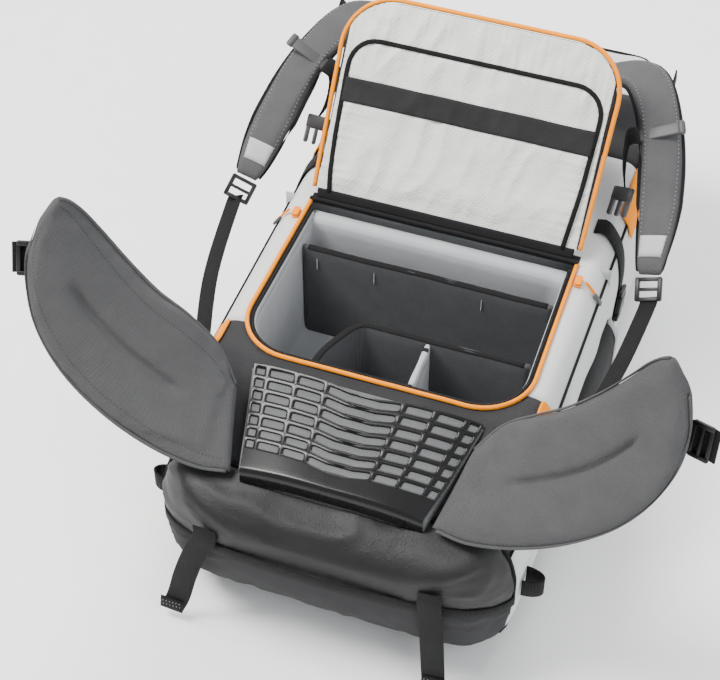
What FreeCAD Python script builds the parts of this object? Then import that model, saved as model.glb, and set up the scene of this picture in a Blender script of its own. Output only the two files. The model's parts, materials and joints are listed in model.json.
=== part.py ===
"""Hiking camera backpack with a zipped back opening, lying on its front with the back lid open.

Millimetres. The pack lies on its front panel: +Z is out of the wearer's back face, +Y runs towards the
top of the pack, and +X is to the right when looking along +Y. The origin is on the floor under the
middle of the front panel. Left is -X. Every size comes from the spreadsheet "dims".
"""
import FreeCAD, Part
import math
import os

import Sketcher
from FreeCAD import Placement, Rotation, Vector

DIMENSIONS = {
    # whole pack
    "pack_width": 370.0,
    "pack_depth": 238.0,
    "top_end": 398.0,
    "shell_wall": 3.0,
    "stack_gap": 0.3,
    # back opening and its rim
    "hinge_line": 35.0,
    "opening_width": 300.0,
    "opening_length": 225.0,
    "opening_flare": 3.0,
    "rim_radius": 58.0,
    "piping_width": 6.0,
    "piping_height": 4.0,
    "coil_width": 4.0,
    "tape_width": 8.5,
    "insert_depth": 148.0,
    "insert_wall": 9.0,
    # lid
    "lid_open": 128.8,
    "lid_core_thick": 8.0,
    "lid_lining_thick": 4.0,
    "lining_inset": 20.0,
    "back_pad_thick": 16.0,
    "hinge_roll": 2.5,
    # base and lumbar
    "slope_run": 106.0,
    "slope_drop": 48.0,
    "boot_reach": 44.0,
    "boot_seam": 112.0,
    "lumbar_low_width": 188.0,
    "lumbar_high_width": 240.0,
    "lumbar_thick": 20.0,
    "lumbar_crown": 8.0,
    "grip_thick": 2.5,
    # hip belt
    "wing_thick": 16.0,
    "belt_web_width": 34.0,
    # harness
    "yoke_width": 178.0,
    "yoke_length": 66.0,
    "yoke_thick": 12.0,
    "strap_thick": 14.0,
    "strap_web_width": 20.0,
    "web_thick": 1.8,
    # top hood
    "hood_seam": 318.0,
    "hood_gap": 0.4,
    # sides
    "pocket_length": 215.0,
    "pocket_height": 132.0,
    "pocket_bulge": 16.0,
    "pocket_wall": 2.5,
    # dividers
    "divider_thick": 9.0,
    "divider_drop": 15.0,
}


class Size:
    """A length with its value and the spreadsheet formula that gives it."""

    def __init__(self, number, formula):
        self.number = float(number)
        self.formula = formula

    def __float__(self):
        return self.number

    def __add__(self, other):
        return Size(self.number + float(other), f"({self.formula} + {formula_of(other)})")

    def __radd__(self, other):
        return self + other

    def __sub__(self, other):
        return Size(self.number - float(other), f"({self.formula} - {formula_of(other)})")

    def __rsub__(self, other):
        return -self + other

    def __neg__(self):
        return Size(-self.number, f"(0 - {self.formula})")

    def __mul__(self, other):
        return Size(self.number * float(other), f"({self.formula} * {formula_of(other)})")

    def __rmul__(self, other):
        return self * other

    def __truediv__(self, other):
        return Size(self.number / float(other), f"({self.formula} / {formula_of(other)})")


def formula_of(size):
    """The formula of a size, or a plain number as text."""
    return size.formula if isinstance(size, Size) else f"{float(size):.6f}"


def cosine(angle):
    return Size(math.cos(math.radians(angle.number)), f"cos({angle.formula} * 1 deg)")


def sine(angle):
    return Size(math.sin(math.radians(angle.number)), f"sin({angle.formula} * 1 deg)")


document = FreeCAD.newDocument("camera_pack")
sheet = document.addObject("Spreadsheet::Sheet", "dims")
for row, (name, number) in enumerate(DIMENSIONS.items(), start=1):
    sheet.set(f"A{row}", name)
    sheet.set(f"B{row}", str(number))
    sheet.setAlias(f"B{row}", name)
document.recompute()
size = {name: Size(number, f"dims.{name}") for name, number in DIMENSIONS.items()}
nodes = []

# places that several sub-parts share
wall = size["shell_wall"]
gap = size["stack_gap"]
deck = size["pack_depth"]
half_width = size["pack_width"] / 2
hinge_y = size["hinge_line"]
near_y = hinge_y - size["opening_length"]
hinge_z = deck + size["piping_height"] + 1
slope_high_y = near_y - 12
slope_high_z = deck - 6
slope_low_y = slope_high_y - size["slope_run"]
slope_low_z = slope_high_z - size["slope_drop"]
base_end = slope_low_y - size["boot_reach"]
base_seam = slope_low_y + 14
insert_top = deck - 5
insert_floor = insert_top - size["insert_depth"] + size["insert_wall"]
hole_inset = size["piping_width"] / 2


def keep(item, label):
    """Give a finished sub-part the label that names its file."""
    item.Label = label
    nodes.append(item)
    return item


def bind(item, prop, value):
    """Bind one property to the formula of a size."""
    if isinstance(value, Size):
        item.setExpression(prop, value.formula)
    elif prop.startswith(".Placement.Base"):
        setattr_base(item, prop[-1], value)
    else:
        setattr(item, prop, float(value))


def setattr_base(item, letter, value):
    """Set one plain number in an object's place."""
    base = item.Placement.Base
    setattr(base, letter, float(value))
    item.Placement = Placement(base, item.Placement.Rotation)


def move_to(item, x=0.0, y=0.0, z=0.0):
    """Place an object, each coordinate bound to its formula."""
    for letter, value in (("x", x), ("y", y), ("z", z)):
        bind(item, f".Placement.Base.{letter}", value)
    return item


def box(name, low, high):
    """A box between two corners."""
    item = document.addObject("Part::Box", name)
    for prop, start, stop in zip(("Length", "Width", "Height"), low, high):
        bind(item, prop, stop - start)
    return move_to(item, *low)


def combine(kind, name, base, tool):
    """A Part boolean of two objects: Cut, Common or Fuse."""
    item = document.addObject(f"Part::{kind}", name)
    item.Base = base
    item.Tool = tool
    return item


def rounded(name, base, radius, test):
    """A Part fillet on the edges that pass the test, which gets each edge's middle and direction."""
    document.recompute()
    item = document.addObject("Part::Fillet", name)
    item.Base = base
    picked = []
    for number, edge in enumerate(base.Shape.Edges, start=1):
        if len(edge.Vertexes) != 2:
            continue
        ends = [vertex.Point for vertex in edge.Vertexes]
        if test((ends[0] + ends[1]) / 2, (ends[1] - ends[0]).normalize()):
            picked.append((number, float(radius), float(radius)))
    item.Edges = picked
    return item


def inset_outline(corners, inset):
    """Corners of a convex counterclockwise outline, moved inwards square to its sides."""
    moved = []
    count = len(corners)
    for index, (across, along) in enumerate(corners):
        before = corners[index - 1]
        after = corners[(index + 1) % count]
        here = Vector(float(across), float(along), 0)
        into = (here - Vector(float(before[0]), float(before[1]), 0)).normalize()
        out = (Vector(float(after[0]), float(after[1]), 0) - here).normalize()
        normals = Vector(-into.y, into.x, 0) + Vector(-out.y, out.x, 0)
        mitre = normals * (2.0 / normals.dot(normals))
        moved.append((across + inset * mitre.x, along + inset * mitre.y))
    return moved


def draw_outline(body, plane, name, corners):
    """A sketched polygon on one of a body's origin planes, each corner bound to its formula."""
    support = [item for item in body.Origin.OriginFeatures if item.Role == plane][0]
    sketch = body.newObject("Sketcher::SketchObject", name)
    sketch.AttachmentSupport = [(support, "")]
    sketch.MapMode = "FlatFace"
    count = len(corners)
    points = [Vector(float(across), float(along), 0) for across, along in corners]
    for index in range(count):
        sketch.addGeometry(Part.LineSegment(points[index], points[(index + 1) % count]), False)
    for index in range(count):
        sketch.addConstraint(Sketcher.Constraint("Coincident", index, 2, (index + 1) % count, 1))
    for index, corner in enumerate(corners):
        for direction, value in zip(("DistanceX", "DistanceY"), corner):
            constraint = Sketcher.Constraint(direction, -1, 1, index, 1, float(value))
            number = sketch.addConstraint(constraint)
            if isinstance(value, Size):
                sketch.setExpression(f"Constraints[{number}]", value.formula)
    return sketch


def outline_pad(name, plane, corners, thickness):
    """A PartDesign body: a sketched polygon on an origin plane, padded."""
    body = document.addObject("PartDesign::Body", name)
    pad = body.newObject("PartDesign::Pad", name + "_pad")
    pad.Profile = draw_outline(body, plane, name + "_outline", corners)
    bind(pad, "Length", thickness)
    return body


def round_corners(body, radius, test):
    """A PartDesign fillet on the padded edges whose middle passes the test."""
    document.recompute()
    base = body.Tip
    names = []
    for number, edge in enumerate(base.Shape.Edges, start=1):
        middle = (edge.Vertexes[0].Point + edge.Vertexes[-1].Point) / 2
        along = (edge.Vertexes[-1].Point - edge.Vertexes[0].Point).normalize()
        if test(middle, along):
            names.append(f"Edge{number}")
    fillet = body.newObject("PartDesign::Fillet", body.Name + "_round")
    fillet.Base = (base, names)
    bind(fillet, "Radius", radius)
    return body


def upright(middle, along):
    """True for an edge that runs along Z."""
    return abs(along.z) > 0.99


def mirrored(source, name):
    """The other side's twin of a left-hand or right-hand piece."""
    item = document.addObject("Part::Mirroring", name)
    item.Source = source
    item.Base = Vector(0, 0, 0)
    item.Normal = Vector(1, 0, 0)
    return item


def together(name, items):
    """Separate solids that share one sub-part."""
    item = document.addObject("Part::Compound", name)
    item.Links = items
    return item


def capsule_wire(first, second, face, thick):
    """The outline of a flat pad's cross-section: two faces and two half-round edges."""
    radius = thick / 2
    reach = (second - first).normalize() * radius
    start = first + reach
    stop = second - reach
    offset = face * radius
    sides = [
        Part.LineSegment(start + offset, stop + offset),
        Part.Arc(stop + offset, second, stop - offset),
        Part.LineSegment(stop - offset, start - offset),
        Part.Arc(start - offset, first, start + offset),
    ]
    return Part.Wire([side.toShape() for side in sides])


def band_wire(first, second, face, thick):
    """The outline of a webbing's cross-section: a thin rectangle."""
    offset = face * (thick / 2)
    points = [first + offset, second + offset, second - offset, first - offset]
    return Part.makePolygon(points + points[:1])


def loft(name, edges, thick, wire, ruled):
    """A strip lofted through stations, each the two edge points of the strip there."""
    middles = [(first + second) / 2 for first, second in edges]
    wires = []
    for index, (first, second) in enumerate(edges):
        ahead = middles[min(index + 1, len(middles) - 1)]
        behind = middles[max(index - 1, 0)]
        face = (ahead - behind).cross(second - first).normalize()
        wires.append(wire(first, second, face, thick))
    solid = Part.makeLoft(wires, True, ruled)
    if solid.Volume < 0:
        solid.reverse()
    item = document.addObject("Part::Feature", name)
    item.Shape = solid
    return item


def strip_edges(centres, hints, widths):
    """Edge points of a strip along its middle line; each hint is roughly across the strip."""
    edges = []
    for index, centre in enumerate(centres):
        ahead = centres[min(index + 1, len(centres) - 1)]
        behind = centres[max(index - 1, 0)]
        along = (ahead - behind).normalize()
        across = (hints[index] - along * hints[index].dot(along)).normalize()
        edges.append((centre - across * (widths[index] / 2), centre + across * (widths[index] / 2)))
    return edges


def webbing(name, centres, hint, width, thick):
    """A flat strap along a middle line, its width along the hint."""
    edges = strip_edges(centres, [hint] * len(centres), [width] * len(centres))
    return loft(name, edges, thick, band_wire, True)


def vec(x, y, z):
    return Vector(float(x), float(y), float(z))


# ---- fabric shell -------------------------------------------------------------------------------

def form_stations():
    """The pack's outer form along Y: place, half width, underside, top and corner size."""
    floor = wall * 0
    top_end = size["top_end"]
    return [
        (base_end, half_width - 93, floor + 100, slope_low_z - 24, 0.30),
        (base_end + 8, half_width - 57, floor + 74, slope_low_z - 12, 0.50),
        (base_end + 22, half_width - 26, floor + 49, slope_low_z - 4, 0.80),
        (base_end + 46, half_width - 6, floor + 22, slope_low_z + 1, 1.0),
        (base_end + 72, half_width, floor, slope_low_z + 12, 1.0),
        (slope_high_y, half_width, floor, slope_high_z, 1.0),
        (near_y, half_width, floor, deck, 1.0),
        (top_end - 68, half_width, floor, deck, 1.0),
        (top_end - 34, half_width - 15, floor + 9, deck - 1, 0.95),
        (top_end - 10, half_width - 44, floor + 34, deck - 8, 0.8),
        (top_end, half_width - 80, floor + 60, deck - 24, 0.5),
    ]


def cross_section(half, low, high, corner):
    """The pack cut square to its length, X and Z, counterclockwise."""
    right = [
        (half - 34 * corner, low),
        (half - 8 * corner, low + 28 * corner),
        (half, low + 70 * corner),
        (half, high - 53 * corner),
        (half - 7 * corner, high - 24 * corner),
        (half - 22 * corner, high),
    ]
    return right + [(-across, along) for across, along in reversed(right)]


def envelope(name, inset):
    """The pack's solid outer form, moved inwards by an inset: a PartDesign loft of cut sections."""
    body = document.addObject("PartDesign::Body", name)
    stations = form_stations()
    sketches = []
    for index, (place, half, low, high, corner) in enumerate(stations):
        if index == 0:
            place = place + inset
        if index == len(stations) - 1:
            place = place - inset
        corners = inset_outline(cross_section(half, low, high, corner), inset)
        sketch = draw_outline(body, "XZ_Plane", f"{name}_{index}", corners)
        sketch.setExpression(".AttachmentOffset.Base.z", formula_of(-place))
        sketches.append(sketch)
    form = body.newObject("PartDesign::AdditiveLoft", name + "_loft")
    form.Profile = sketches[0]
    form.Sections = sketches[1:]
    form.Ruled = True
    return body


def rim_plate(name, inset, low, high):
    """A plate with the outline of the back opening, moved inwards by an inset."""
    flare = size["opening_flare"]
    half = size["opening_width"] / 2
    corners = [(-half - flare, near_y), (half + flare, near_y), (half, hinge_y), (-half, hinge_y)]
    body = outline_pad(name, "XY_Plane", inset_outline(corners, inset), high - low)
    middle_y = float(near_y + hinge_y) / 2
    round_corners(body, size["rim_radius"] - inset,
                  lambda middle, along: upright(middle, along) and middle.y < middle_y)
    return move_to(body, z=low)


def rim_ring(name, outer_inset, inner_inset, low, high, open_at_hinge=True):
    """A ring or, open at the hinge, a U that follows the opening's edge."""
    outer = rim_plate(name + "_outer", outer_inset, low, high)
    inner = rim_plate(name + "_inner", inner_inset, low - 1, high + 1)
    ring = combine("Cut", name + "_ring", outer, inner)
    if not open_at_hinge:
        return ring
    reach = size["opening_width"]
    clear = box(name + "_clear", (-reach, hinge_y - 14, low - 2), (reach, hinge_y + 20, high + 2))
    return combine("Cut", name, ring, clear)


def make_shell():
    """The sewn fabric panels: front, sides, back, boot, base and the top hood."""
    outer = envelope("outer_form", wall * 0)
    inner = envelope("inner_form", wall)
    skin = combine("Cut", "skin", outer, inner)
    far = size["pack_width"]
    front_seam = wall * 0 + 28
    back_seam = deck - 24
    hood_edge = size["hood_seam"]
    below = wall * 0 - 10
    regions = {
        "front_panel": ((-far, base_seam, below), (far, hood_edge, front_seam)),
        "side_panel_left": ((-far, base_seam, front_seam), (wall * 0, hood_edge, back_seam)),
        "side_panel_right": ((wall * 0, base_seam, front_seam), (far, hood_edge, back_seam)),
        "back_whole": ((-far, base_seam, back_seam), (far, hood_edge, deck + 10)),
        "base_boot": ((-far, base_end - 10, size["boot_seam"]), (far, base_seam, deck + 10)),
        "base_panel": ((-far, base_end - 10, below), (far, base_seam, size["boot_seam"])),
        "top_hood": ((-far, hood_edge + size["hood_gap"], below), (far, size["top_end"] + 10, deck + 10)),
    }
    panels = {}
    for label, (low, high) in regions.items():
        region = box(label + "_region", low, high)
        panels[label] = combine("Common", label, skin, region)
    hole = rim_plate("opening_hole", hole_inset, deck - 40, deck + 20)
    panels["back_panel"] = combine("Cut", "back_panel", panels.pop("back_whole"), hole)
    for label, panel in panels.items():
        keep(panel, label)
    return outer, inner


def make_wall_and_insert(inner):
    """The wall under the lid's hinge and the padded camera insert."""
    slab = box("wall_slab", (-size["pack_width"], hinge_y + 12, insert_top - size["insert_depth"]),
               (size["pack_width"], hinge_y + 16, deck - 9))
    keep(combine("Common", "wall_sheet", inner, slab), "compartment_wall")
    low = insert_top - size["insert_depth"]
    outside = rim_plate("insert_outside", hole_inset + gap, low, insert_top)
    inside = rim_plate("insert_inside", hole_inset + gap + size["insert_wall"], insert_floor, insert_top + 5)
    keep(combine("Cut", "insert_tub", outside, inside), "camera_insert")


def make_rim():
    """Zip tape, zip coil and the orange piping round three sides of the opening."""
    piping = size["piping_width"]
    coil_start = piping + 0.3
    keep(rim_ring("rim_tape_u", hole_inset + gap, hole_inset + gap + size["tape_width"],
                  insert_top, deck - 2), "rim_zip_tape")
    keep(rim_ring("rim_coil_u", coil_start, coil_start + size["coil_width"], deck - 2, deck + 1), "rim_zip_coil")
    keep(rim_ring("rim_piping_u", wall * 0, piping - 0.3, deck, deck + size["piping_height"]), "rim_piping")
    half = size["opening_width"] / 2
    tape = box("rim_hinge_strip", (-half, hinge_y - 3, deck), (half, hinge_y + 12, hinge_z - size["hinge_roll"] - gap))
    keep(tape, "rim_hinge_tape")


def make_frame(inner):
    """The light alloy frame inside the back panel."""
    radius = 2.5
    rod_x = half_width - 22 - 5.5
    rod_z = deck - wall - gap - radius
    rods = []
    for side, name in ((-1, "rod_left"), (1, "rod_right")):
        rod = document.addObject("Part::Cylinder", name)
        rod.Radius = radius
        bind(rod, "Height", size["hood_seam"] - 12 - near_y)
        rod.Placement = Placement(Vector(0, 0, 0), Rotation(Vector(1, 0, 0), -90))
        rods.append(move_to(rod, side * rod_x, near_y, rod_z))
    keep(together("rod_pair", rods), "frame_rods")
    bar = document.addObject("Part::Cylinder", "bar")
    bar.Radius = radius
    bind(bar, "Height", 2 * rod_x - 2 * radius - 2 * gap)
    bar.Placement = Placement(Vector(0, 0, 0), Rotation(Vector(0, 1, 0), 90))
    keep(move_to(bar, -rod_x + radius + gap, size["hood_seam"] - 20, rod_z), "frame_crossbar")


# ---- lid ----------------------------------------------------------------------------------------

def swing_lid(piece):
    """Turn a piece that is modelled closed to where the lid stands open."""
    turn = size["lid_open"]
    item = together(piece.Name + "_open", [piece])
    item.Placement = Placement(Vector(0, 0, 0), Rotation(Vector(-1, 0, 0), turn.number))
    item.setExpression(".Placement.Rotation.Angle", f"{turn.formula} * 1 deg")
    away_y = hinge_y - (hinge_y * cosine(turn) + hinge_z * sine(turn))
    away_z = hinge_z - (hinge_z * cosine(turn) - hinge_y * sine(turn))
    return move_to(item, y=away_y, z=away_z)


def make_lid():
    """The back lid: stiff core, lining, pocket binding, elastic, piping, hinge tape and back pads."""
    reach = size["opening_width"]
    piping = size["piping_width"]
    core_top = hinge_z + size["lid_core_thick"]
    pieces = {
        "lid_core": rim_core("lid_core_plate", piping + gap, hinge_z, core_top),
        "lid_piping": rim_ring("lid_piping_u", wall * 0, piping, hinge_z, hinge_z + size["piping_height"] + 1),
    }
    lining_low = hinge_z - size["lid_lining_thick"]
    pieces["lid_lining"] = rim_core("lid_lining_plate", size["lining_inset"], lining_low, hinge_z)
    binding_low = lining_low - 2
    edge = size["lining_inset"] + 8
    pieces["lid_pocket_binding"] = rim_ring("pocket_binding_u", edge, edge + 4, binding_low, lining_low)
    band_near = near_y + 46
    half_band = size["opening_width"] / 2 - edge - 5
    band = box("elastic_band_strip", (-half_band, band_near, binding_low), (half_band, band_near + 38, lining_low))
    pieces["lid_elastic_band"] = band
    roll = document.addObject("Part::Cylinder", "hinge_roll_bar")
    bind(roll, "Radius", size["hinge_roll"])
    bind(roll, "Height", reach - 4)
    roll.Placement = Placement(Vector(0, 0, 0), Rotation(Vector(0, 1, 0), 90))
    move_to(roll, 2 - reach / 2, hinge_y, hinge_z)
    flap = box("hinge_flap", (2 - reach / 2, hinge_y - 12, hinge_z), (reach / 2 - 2, hinge_y, hinge_z + 2))
    pieces["lid_hinge_tape"] = combine("Fuse", "hinge_tape_sewn", roll, flap)
    pad_start = hinge_y - 34
    for side, label in ((-1, "back_pad_left"), (1, "back_pad_right")):
        inner_x = wall * 0 + 12
        outer_x = reach / 2 - 16
        corners = [(inner_x, near_y + 24), (outer_x, near_y + 24), (outer_x, pad_start), (inner_x, pad_start)]
        if side < 0:
            corners = [(-across, along) for across, along in reversed(corners)]
        pad = outline_pad(label + "_foam", "XY_Plane", corners, size["back_pad_thick"])
        round_corners(pad, 24, upright)
        pieces[label] = move_to(pad, z=core_top)
    for label, piece in pieces.items():
        keep(swing_lid(piece), label)


def rim_core(name, inset, low, high):
    """A lid sheet: the opening's outline, stopped short of the hinge."""
    plate = rim_plate(name + "_whole", inset, low, high)
    reach = size["opening_width"]
    clear = box(name + "_hinge_clear", (-reach, hinge_y - 12, low - 2), (reach, hinge_y + 20, high + 2))
    return combine("Cut", name, plate, clear)


# ---- lumbar pad and hip belt --------------------------------------------------------------------

def lumbar_section(place, half, low, edge, crown):
    """One cut across the lumbar pad at a place along Y: flat below, crowned above."""
    points = [(-half, low), (half, low), (half, edge), (half * 0.72, edge + crown * 0.6), (half * 0.3, edge + crown),
              (half * -0.3, edge + crown), (half * -0.72, edge + crown * 0.6), (-half, edge)]
    corners = [vec(x, place, z) for x, z in points]
    return Part.makePolygon(corners + corners[:1])


def lumbar_form(name, inset, skirt, spare):
    """The lumbar pad's form; the grip's cover is the same form inset, skirted and taller."""
    low_half = float(size["lumbar_low_width"]) / 2
    flare = float(size["lumbar_high_width"]) / 2 - low_half
    run = float(size["slope_run"])
    thick = float(size["lumbar_thick"])
    stations = [(0.0, thick, 1.0), (0.42, thick * 0.42, 1.1), (0.97, 1.8, 0.9)]
    wires = []
    for share, height, crown_share in stations:
        along = inset + (run - 2 * inset) * share
        half = low_half + flare * along / run - inset
        floor = float(slope_low_z) + float(size["slope_drop"]) * along / run + 0.8
        crown = float(size["lumbar_crown"]) * crown_share
        place = float(slope_low_y) + along
        wires.append(lumbar_section(place, half, floor + skirt, floor + height + spare, crown))
    item = document.addObject("Part::Feature", name)
    item.Shape = Part.makeLoft(wires, True, True)
    return item


def make_lumbar():
    """The lumbar pad and the moulded grip with its grid of windows."""
    pad = keep(lumbar_form("lumbar_foam", 0.0, 0.0, 0.0), "lumbar_pad")
    thin = float(size["grip_thick"])
    cover = lumbar_form("grip_cover", 3.0, 1.0, thin)
    skin = combine("Cut", "grip_skin", cover, pad)
    rows = 8
    columns = 7
    pitch_x = (size["lumbar_low_width"] - 14) / columns
    pitch_y = (size["slope_run"] - 22) / rows
    windows = []
    for row_number in range(rows):
        for column in range(columns):
            x = pitch_x * (column - (columns - 1) / 2)
            y = slope_low_y + 20 + pitch_y * row_number
            low_corner = (x - pitch_x * 0.34, y - pitch_y * 0.28, slope_low_z)
            high_corner = (x + pitch_x * 0.34, y + pitch_y * 0.28, deck + 40)
            windows.append(box(f"window_{row_number}_{column}", low_corner, high_corner))
    keep(combine("Cut", "grip_pierced", skin, together("grip_windows", windows)), "lumbar_grip")


# from a wing's root to its tip: steps from the root's upper end, and from its lower end
WING_UPPER = [(0, 0, 0), (24, 16, 30), (53, 16, 56), (81, 14, 80), (109, 15, 110), (133, 14, 144), (153, 8, 180),
              (163, 1, 199)]
WING_LOWER = [(0, 0, 0), (37, -7, 3), (85, -8, 19), (133, -3, 44), (174, 6, 79), (201, 19, 123), (212, 39, 173),
              (206, 54, 212)]
# the left wing has settled with its upper edge a little higher than the right one's
LEFT_LIFT = [0.0, 0.4, 1.0, 1.0, 1.0, 1.0, 0.9, 0.5]


def wing_root():
    """The two ends of the line that the right wing folds about: upper, then lower."""
    clear = size["wing_thick"] / 2 + 0.6
    half = size["lumbar_low_width"] / 2
    flare = (size["lumbar_high_width"] - size["lumbar_low_width"]) / 2
    lower = vec(half + clear, slope_low_y - 1, slope_low_z + size["lumbar_thick"] - 5)
    upper = vec(half + clear + flare * 0.62, slope_low_y + size["slope_run"] * 0.6, slope_high_z + 14)
    return upper, lower


def flip(point):
    """The same point on the pack's left."""
    return Vector(-point.x, point.y, point.z)


def wing_edges(side):
    """The two edges of a wing's middle surface, from root to tip."""
    upper, lower = wing_root()
    edges = []
    for up, down, lift in zip(WING_UPPER, WING_LOWER, LEFT_LIFT):
        raised = Vector(0, 6, 12) * (lift if side < 0 else 0.0)
        pair = (upper + Vector(*up) + raised, lower + Vector(*down))
        edges.append(pair if side > 0 else (flip(pair[0]), flip(pair[1])))
    return edges


def web_loop(name, length, opening, width, thick):
    """A flattened loop of webbing: x along the loop, y through it, z across the webbing."""
    outer = document.addObject("Part::Box", name + "_outside")
    outer.Length = length
    outer.Width = opening + 2 * thick
    outer.Height = width
    outer.Placement.Base = Vector(0, -outer.Width / 2, -width / 2)
    inner = document.addObject("Part::Box", name + "_inside")
    inner.Length = length - 2 * thick
    inner.Width = opening
    inner.Height = width + 2
    inner.Placement.Base = Vector(thick, -opening / 2, -width / 2 - 1)
    return combine("Cut", name,
                   rounded(name + "_outside_soft", outer, opening / 2 + thick - 0.2, upright),
                   rounded(name + "_inside_soft", inner, opening / 2 - 0.2, upright))


def make_wings():
    """Hip belt wings with their webbing loops and ladder locks."""
    thick = float(size["wing_thick"])
    for side, hand in ((1, "right"), (-1, "left")):
        edges = wing_edges(side)
        left_edges = edges if side < 0 else [(flip(upper), flip(lower)) for upper, lower in edges]
        pad = loft(f"wing_{hand}", left_edges, thick, capsule_wire, False)
        upper, lower = left_edges[0]
        axis = (upper - lower).normalize()
        knuckle = Part.makeCylinder(thick / 2, (upper - lower).Length - thick, lower + axis * (thick / 2), axis)
        whole = pad.Shape.fuse(knuckle)
        pad.Shape = whole if side < 0 else whole.mirror(Vector(0, 0, 0), Vector(1, 0, 0))
        keep(pad, f"wing_pad_{hand}")
        upper, lower = edges[6]
        inner_upper, inner_lower = edges[5]
        across = (upper - lower).normalize()
        along = ((upper + lower) - (inner_upper + inner_lower)).normalize()
        outward = (along.cross(across) * side).normalize()
        if outward.z > 0:
            outward = outward * -1
        reach = (Vector(side, 0, 0) - outward * (outward.x * side)).normalize()
        start = (inner_upper + inner_lower) / 2 + outward * (thick / 2 + 7.5)
        loop = web_loop(f"belt_loop_{hand}", 62.0, 9.0, float(size["belt_web_width"]), float(size["web_thick"]))
        turn = Rotation(reach, outward, reach.cross(outward), "XYZ")
        loop.Placement = Placement(start, turn)
        keep(loop, f"belt_webbing_{hand}")
        lock = ladder_lock(f"belt_lock_{hand}", 38, 22, 4)
        lock.Placement = Placement(start + reach * 40 + outward * 9.0, Rotation(reach, reach.cross(outward) * -1, outward, "XYZ"))
        keep(lock, f"belt_ladder_lock_{hand}")


def ladder_lock(name, across, along, thick):
    """A webbing adjuster: a flat frame with two slots, centred on the origin."""
    plate = document.addObject("Part::Box", name + "_plate")
    plate.Length = along
    plate.Width = across
    plate.Height = thick
    plate.Placement.Base = Vector(-along / 2, -across / 2, -thick / 2)
    slots = []
    for step in (-1, 1):
        slot = document.addObject("Part::Box", f"{name}_slot_{step + 1}")
        slot.Length = along * 0.2
        slot.Width = across - 10
        slot.Height = thick + 2
        slot.Placement.Base = Vector(step * along * 0.22 - along * 0.1, 5 - across / 2, -thick / 2 - 1)
        slots.append(slot)
    return combine("Cut", name, plate, together(name + "_slots", slots))


# ---- shoulder harness ---------------------------------------------------------------------------

def strap_line():
    """Middle line of the right shoulder strap, from the yoke to its tip."""
    yoke_y = size["hood_seam"] - 50
    return [
        vec(size["yoke_width"] / 2 - 22, yoke_y, deck + 18.7),
        vec(half_width - 68, yoke_y - 6, deck + 66),
        vec(half_width - 22, yoke_y - 42, deck + 101),
        vec(half_width + 10, yoke_y - 104, deck + 84),
        vec(half_width + 28, yoke_y - 168, deck + 44),
        vec(half_width + 37, yoke_y - 232, deck + 10),
    ]


STRAP_HINTS = [Vector(0, 1, 0), Vector(0.35, 0.9, 0), Vector(0.8, 0.55, 0.1), Vector(0.87, 0.2, 0.4),
               Vector(0.87, 0.1, 0.45), Vector(0.9, 0, 0.4)]
STRAP_WIDTHS = [58, 60, 56, 52, 50, 38]


def make_harness():
    """Yoke, shoulder straps, tip locks, sternum pieces and the webbing that ties them to the pack."""
    yoke_y = size["hood_seam"] - 50
    half = size["yoke_width"] / 2
    reach = size["yoke_length"] / 2
    corners = [(-half, yoke_y - reach), (half, yoke_y - reach), (half, yoke_y + reach), (-half, yoke_y + reach)]
    yoke = outline_pad("yoke_foam", "XY_Plane", corners, size["yoke_thick"])
    round_corners(yoke, 20, upright)
    keep(move_to(yoke, z=deck), "harness_yoke")

    centres = strap_line()
    edges = strip_edges(centres, STRAP_HINTS, STRAP_WIDTHS)
    pad = loft("strap_loft", edges, float(size["strap_thick"]), capsule_wire, False)
    keep(pad, "strap_pad_right")
    keep(mirrored(pad, "strap_left"), "strap_pad_left")

    tip = centres[-1]
    away = Vector(0.20, -0.80, -0.56).normalize()
    lock = ladder_lock("strap_lock", 30, 26, 5)
    lock.Placement = Placement(tip + away * 15.1, Rotation(Vector(1, 0, 0), away))
    keep(lock, "strap_ladder_lock_right")
    keep(mirrored(lock, "strap_lock_left"), "strap_ladder_lock_left")

    lock_end = tip + away * 30.3
    side_face = float(half_width) + 3.3
    low_end = vec(side_face, near_y + 4, deck - 52)
    middle = (lock_end + low_end) / 2 + Vector(9, 0, 0)
    web_width = float(size["strap_web_width"])
    web_thick = float(size["web_thick"])
    lower = webbing("lower_web", [lock_end, middle, low_end, low_end + Vector(0, -26, -4)],
                    Vector(0.2, 0.4, 0.9), web_width, web_thick)
    keep(together("lower_web_pair", [lower, mirrored(lower, "lower_web_left")]), "lower_webbing")

    lift_path = [vec(half_width + 4.5, yoke_y - 25, deck + 99), vec(half_width - 1, yoke_y + 14, deck + 50),
                 vec(half_width - 36, size["hood_seam"] - 12, deck + 1.5)]
    lift_hints = [Vector(0, 0.8, 0.6), Vector(0.2, 0.8, 0.6), Vector(0.6, 0.8, 0)]
    lifter = loft("lifter_web", strip_edges(lift_path, lift_hints, [web_width] * 3), web_thick, band_wire, True)
    keep(together("lifter_pair", [lifter, mirrored(lifter, "lifter_left")]), "load_lifter_webbing")


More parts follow.
